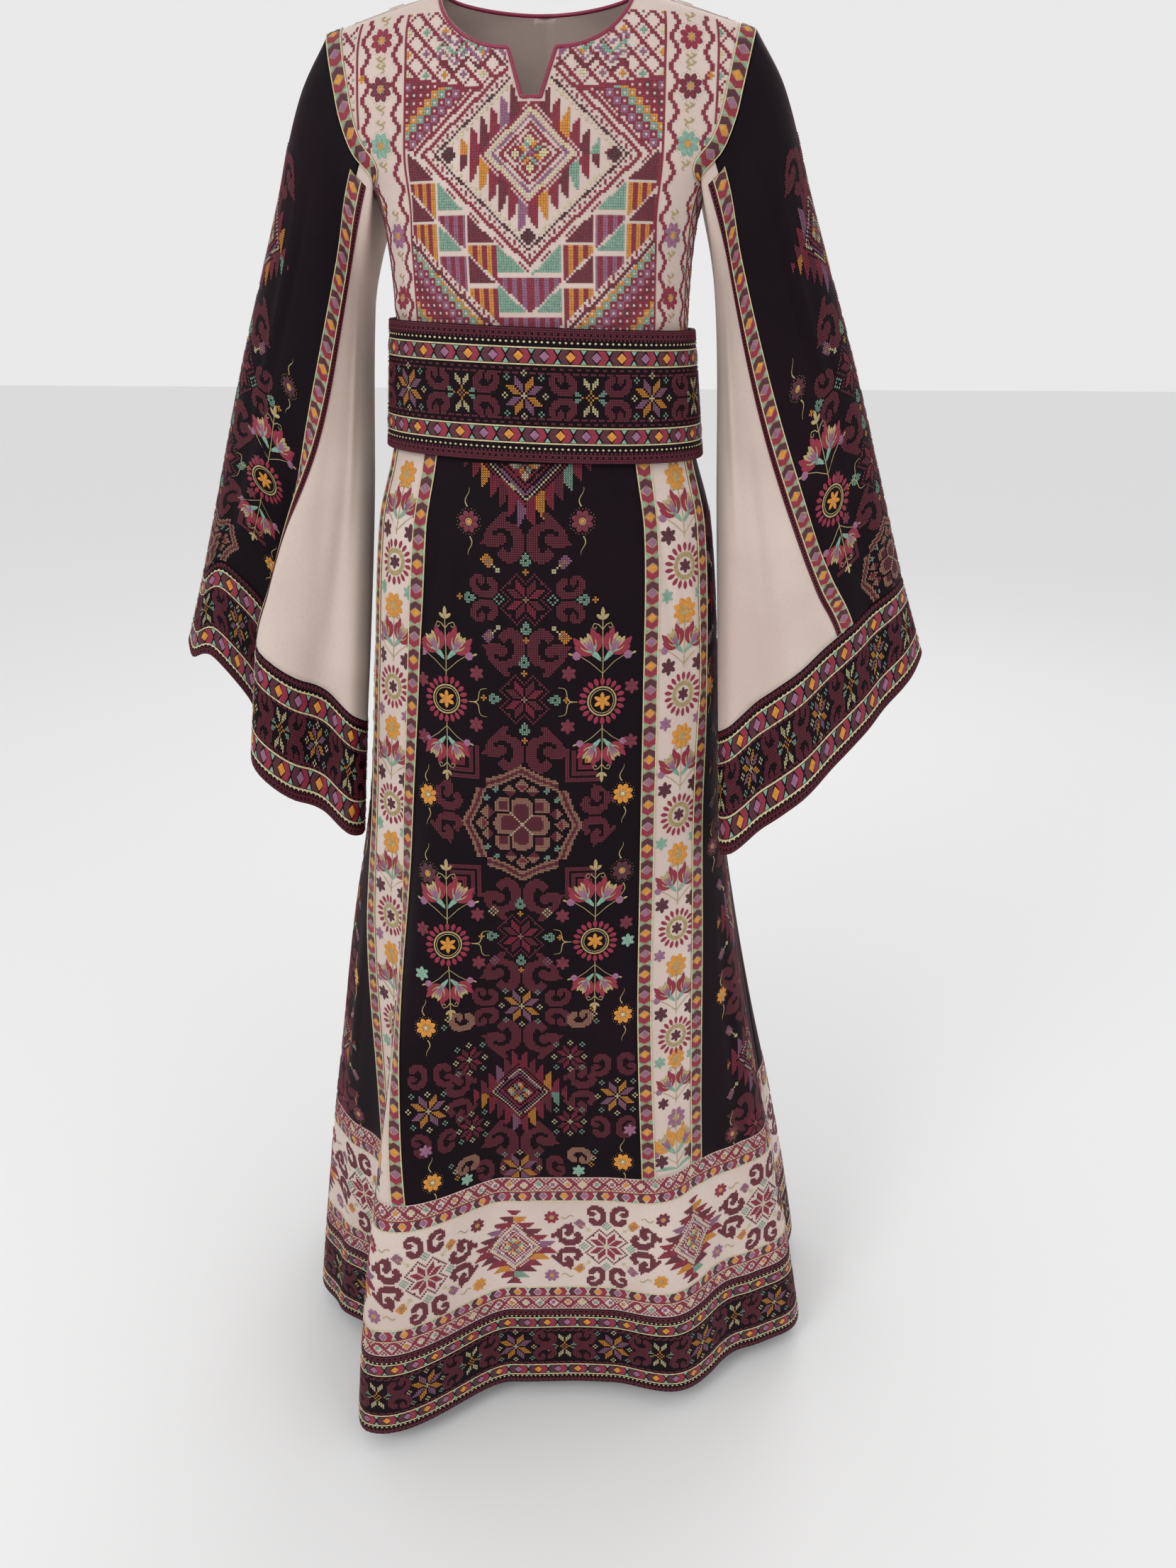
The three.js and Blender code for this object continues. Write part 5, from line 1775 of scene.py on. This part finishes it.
def neck_half(z):
    """Half width of the opening of neck and slit at a height."""
    wider, tall = SLIT_TOP_HALF - SLIT_BOTTOM_HALF, NECK_FRONT_Z - SLIT_BOTTOM_Z
    slit = SLIT_BOTTOM_HALF + wider * (z - SLIT_BOTTOM_Z) / tall
    rise = np.clip((z - NECK_FRONT_Z) / (NECK_Z - NECK_FRONT_Z), 0, 1)
    curve = SLIT_TOP_HALF + (NECK_HALF_WIDTH - SLIT_TOP_HALF) * np.sqrt(1 - (1 - rise) ** 2)
    return np.where(z < SLIT_BOTTOM_Z - 3.5, -10, np.where(z < NECK_FRONT_Z, slit, curve))


def bodice_front_design(chart):
    u, v = np.abs(chart.x) + 0 * chart.y, chart.y + 0 * chart.x
    i, j = np.rint(u / chart.square).astype(int), np.rint(v / chart.square).astype(int)
    r = u / RHOMBUS[0] + np.abs(v + RHOMBUS_Z) / RHOMBUS[1]
    inner = u < 111
    slope = 0.9 * u
    under = 229.4 - slope
    above = v < 92 - 0.14 * u * (u > 30)
    # rows of coloured squares on the diagonal, above and below
    p, q = i // 3, j // 3
    squares = ("crimson", "gold", "mint", "crimson", "lilac", "crimson", "maroon", "crimson")
    holes = (i % 3 == 1) & (j % 3 == 1)
    diagonal = np.where(v > -RHOMBUS_Z, p + q, q - p)
    for m, thread in enumerate(squares):
        chart.fill(inner & (diagonal % len(squares) == m) & ~holes & (r > 1.12), thread)
    chart.fill(inner & (r > 1.12) & (r < 1.22), None)
    stair = (np.abs(r - 1.17) < 0.028) & (r > 1.1)
    chart.fill(inner & stair, "crimson")
    # lattice of small diamonds near the shoulders
    tile = 8.4
    du, dv = (u % (2 * tile)) - tile, (v % (2 * tile)) - tile
    small = np.abs(du) + np.abs(dv)
    kind = ((u // (2 * tile)) + (v // (2 * tile)) * 2).astype(int) % 4
    high = above & (u < 112)
    chart.fill(high, None)
    chart.fill(high & (np.abs(small - tile) < chart.square * 0.75), "crimson")
    for m, thread in enumerate(("gold", "mint", "cream", "lilac")):
        chart.fill(high & (small < tile * 0.4) & (kind == m), thread)
    zig = (v - np.abs((u % 22) - 11) * 1.0) - (34 + 0.1 * u)
    for low, thread in ((0, "lilac"), (7, "mint"), (14, "lilac"), (21, "maroon")):
        chart.fill(high & (u < 82) & (zig > low) & (zig < low + 3.2), thread)
    comb = v - (92 - 0.14 * u * (u > 30))
    chart.fill((comb > 0) & (comb < 3) & (u > 30) & (u < 111), "crimson")
    # two bands of stepped triangles
    column = np.floor(u / 27)
    flat = 229.4 - 0.9 * 27 * column
    for drop in (0, 32):
        band = (v > under + drop) & (v < under + drop + 32) & inner
        chart.fill(band, None)
        point = band & (v < flat + drop)
        even = column % 2 == 0
        chart.fill(point & even, "mint")
        chart.fill(point & ~even, "maroon")
        stripes = band & ~point & (v > flat + drop + 2.2)
        for m in range(2):
            stripe = stripes & ((i // 2) % 2 == m)
            chart.fill(stripe & even, ("crimson", "lilac")[m])
            chart.fill(stripe & ~even, ("gold", "crimson")[m])
        chart.fill(np.abs(v - under - drop) < 1.3, None)
        gap = (u % 27 < 1.6) | (np.abs(v - flat - drop) < 1.3)
        chart.fill(band & gap & (u > 3), None)
    beyond = v - under - 64
    chart.fill(inner & (beyond > 0) & (beyond < 12), None)
    chart.fill(inner & (np.abs(beyond - 3.4) < 1.4) & (i % 2 == 0), "crimson")
    chart.fill(inner & (np.abs(beyond - 8.5) < 2.1), "maroon")
    # the rhombus with its serrated star
    chart.fill(r < 1.1, None)
    chart.fill(np.abs(r - 1.06) < 0.026, "crimson")
    chart.fill((np.abs(r - 0.99) < 0.016) & (i % 2 == 0), "crimson")
    chart.fill(np.abs(r - 0.93) < 0.016, "plum")
    chart.fill((np.abs(r - 0.87) < 0.016) & (i % 2 == 0), "cream")
    medallion(chart, 0, -RHOMBUS_Z, RHOMBUS[0] * 0.74, RHOMBUS[1] * 0.76)
    away, middle = RHOMBUS[0] * 0.8, -RHOMBUS_Z
    for x, y in ((away, middle), (-away, middle), (0, middle + RHOMBUS[1] * 0.8)):
        spot = np.abs(chart.x - x) + np.abs(chart.y - y)
        chart.fill(spot < 3.6 * chart.square, "plum")
    # borders beside the daisies, and the lattice beyond them
    saw = np.floor((1 - np.abs((v % 23.1) - 11.5) / 11.5) * 4) * chart.square
    for start, way in ((111, 1), (158, -1)):
        far = (u - start) * way
        chart.fill((far > -1) & (far < 1.1), "crimson")
        chart.fill((far > 3.1) & (np.abs(far - 5.2 - saw) < 2.15), "crimson")
    for k, thread in ((0, "mint"), (1, "gold")):
        spots = (np.abs(v % 50 - 25) + np.abs(u - 152) < 3.4) & ((v // 50).astype(int) % 2 == k)
        chart.fill(spots, thread)
    outer = u > 160
    chart.fill(outer & (np.abs(small - tile) < chart.square * 0.8), "crimson")
    for m, thread in enumerate(("gold", "mint", "lilac", "cream")):
        chart.fill(outer & (small < tile * 0.4) & (kind == m), thread)


bodice_laid = Laid(
    dress, 0, (18, -WAIST_Z), (-260, 260), (bodice_limits(-1), bodice_limits(1)), 92
)
bodice_chart = Chart((-240, 240), (26, -BELT_TOP_Z + 6), HEM_SQUARE)
bodice_front_design(bodice_chart)
places = bodice_laid.at(bodice_chart.x + 0 * bodice_chart.y, bodice_chart.y + 0 * bodice_chart.x)
off = (np.abs(places[..., 0]) < neck_half(places[..., 2]) + 3.5) | (
    places[..., 2] > shoulder_line(places[..., 0]) - 7
)
off |= (np.abs(places[..., 0]) < SLIT_BOTTOM_HALF + 4) & (places[..., 2] > SLIT_BOTTOM_Z - 4)
bodice_chart.fill(off, None)
cross_stitches("bodice_crosses", bodice_laid, bodice_chart, 0.37, 17)
bodice_work = Satin(bodice_laid)
BODICE_DAISIES = ((46, "crimson"), (84, "maroon"), (128, "mint"), (198, "lilac"), (248, "crimson"))
for way in (-1, 1):
    for level, thread in BODICE_DAISIES:
        x = way * (134 if level < 150 else 131)
        bodice_work.daisy(x, level, 10.5, thread, "gold")
        for up in (-1, 1):
            curl = []
            for t in np.linspace(0, 1, 8):
                curl.append((x + way * up * 3.4 * math.sin(t * 6), level + up * (12.5 + 7.5 * t)))
            bodice_work.cord(curl, "metal", 1.0)
            for turn in (-60, 60):
                bodice_work.leaf(x, level + up * 16, turn, 5.5, 1.8, "metal", 0.6)
bodice_work.make("bodice_daisies")


# The neck's piping
# A bias strip of crimson satin is sewn round the neck and slit as a thin round edge.
PIPING = 1.7  # its radius


def piping_finish():
    made = Finish("crimson_piping", specular_ior_level=0.5, roughness=0.42)
    strands = made.spots(1500.0, 2.0)
    made.feed("Base Color", made.mix(strands.clear(0.3, 0.7), paint("#6d1630"), paint("#98234a")))
    made.relief(strands, 0.0002, 0.5)
    return made.material


def neck_line():
    """Points along the edge of neck and slit, and the way out of the cloth at each."""
    points = []
    for front, side, rows in (
        (True, 1, np.linspace(7, BODICE_ROWS - 0.02, 60)),
        (False, 1, np.linspace(BODICE_ROWS - 0.02, SLIT_TOP_ROW, 30)),
        (False, -1, np.linspace(SLIT_TOP_ROW, BODICE_ROWS - 0.02, 30)),
        (True, -1, np.linspace(BODICE_ROWS - 0.02, 7, 60)),
    ):
        points.append(bodice(side * CORE_SHARE, rows, front))
    line = np.concatenate(points)
    far = np.linalg.norm(np.diff(line, axis=0), axis=1)
    line = line[np.concatenate([[True], far > 0.5])]
    steps = np.linalg.norm(np.diff(np.concatenate([line, line[:1]]), axis=0), axis=1)
    along = np.concatenate([[0], np.cumsum(steps)])
    even = np.arange(0, along[-1], 2.5)
    closed = np.concatenate([line, line[:1]])
    return follow(closed, along, even)


def round_cord(name, line, radius, material, node, sides=10):
    ahead, behind = np.roll(line, -1, 0), np.roll(line, 1, 0)
    along = (ahead - behind) / np.linalg.norm(ahead - behind, axis=1, keepdims=True)
    level = np.cross(along, (0, 0, 1.0))
    level /= np.maximum(np.linalg.norm(level, axis=1, keepdims=True), 1e-6)
    upright = np.cross(level, along)
    turns = np.linspace(0, 2 * math.pi, sides, endpoint=False)
    rings = line[:, None] + radius * (
        level[:, None] * np.cos(turns)[None, :, None] + upright[:, None] * np.sin(turns)[None, :, None]
    )
    count = len(line)
    j, i = np.mgrid[0:count, 0:sides]
    faces = quads(j, i, (j + 1) % count, (i + 1) % sides, sides)
    piece = new_mesh(name, rings.reshape(-1, 3), faces.reshape(-1, 4), material)
    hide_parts(node)


round_cord("neck_piping", neck_line(), PIPING, piping_finish(), "neck_binding")


# Floor and light
# A plain pale floor below the hem, and soft light from large lamps in front, beside and above.
FLOOR_Z = -1.452
bpy.ops.mesh.primitive_plane_add(size=30, location=(0, 0, FLOOR_Z))
floor = bpy.context.object
floor.name = "floor"
floor_finish = Finish("floor", base_color=(0.86, 0.86, 0.86, 1), roughness=0.9, specular_ior_level=0.1)
floor.data.materials.append(floor_finish.material)

world = bpy.data.worlds.new("studio")
bpy.context.scene.world = world
world.use_nodes = True
world.node_tree.nodes["Background"].inputs["Color"].default_value = (1, 1, 1, 1)
world.node_tree.nodes["Background"].inputs["Strength"].default_value = 0.82


def lamp(name, place, towards, size, power):
    light = bpy.data.lights.new(name, "AREA")
    light.energy, light.size, light.shape = power, size, "DISK"
    made = bpy.data.objects.new(name, light)
    bpy.context.scene.collection.objects.link(made)
    made.location = place
    made.rotation_euler = (Vector(towards) - Vector(place)).to_track_quat("-Z", "Y").to_euler()


lamp("key", (-1.4, -2.2, 1.1), (0, 0, -0.6), 1.2, 22)
lamp("fill", (1.9, -1.9, 0.4), (0, 0, -0.7), 1.8, 6)
lamp("back", (0.6, 2.4, 1.4), (0, 0, -0.6), 1.8, 16)

bpy.context.view_layer.update()
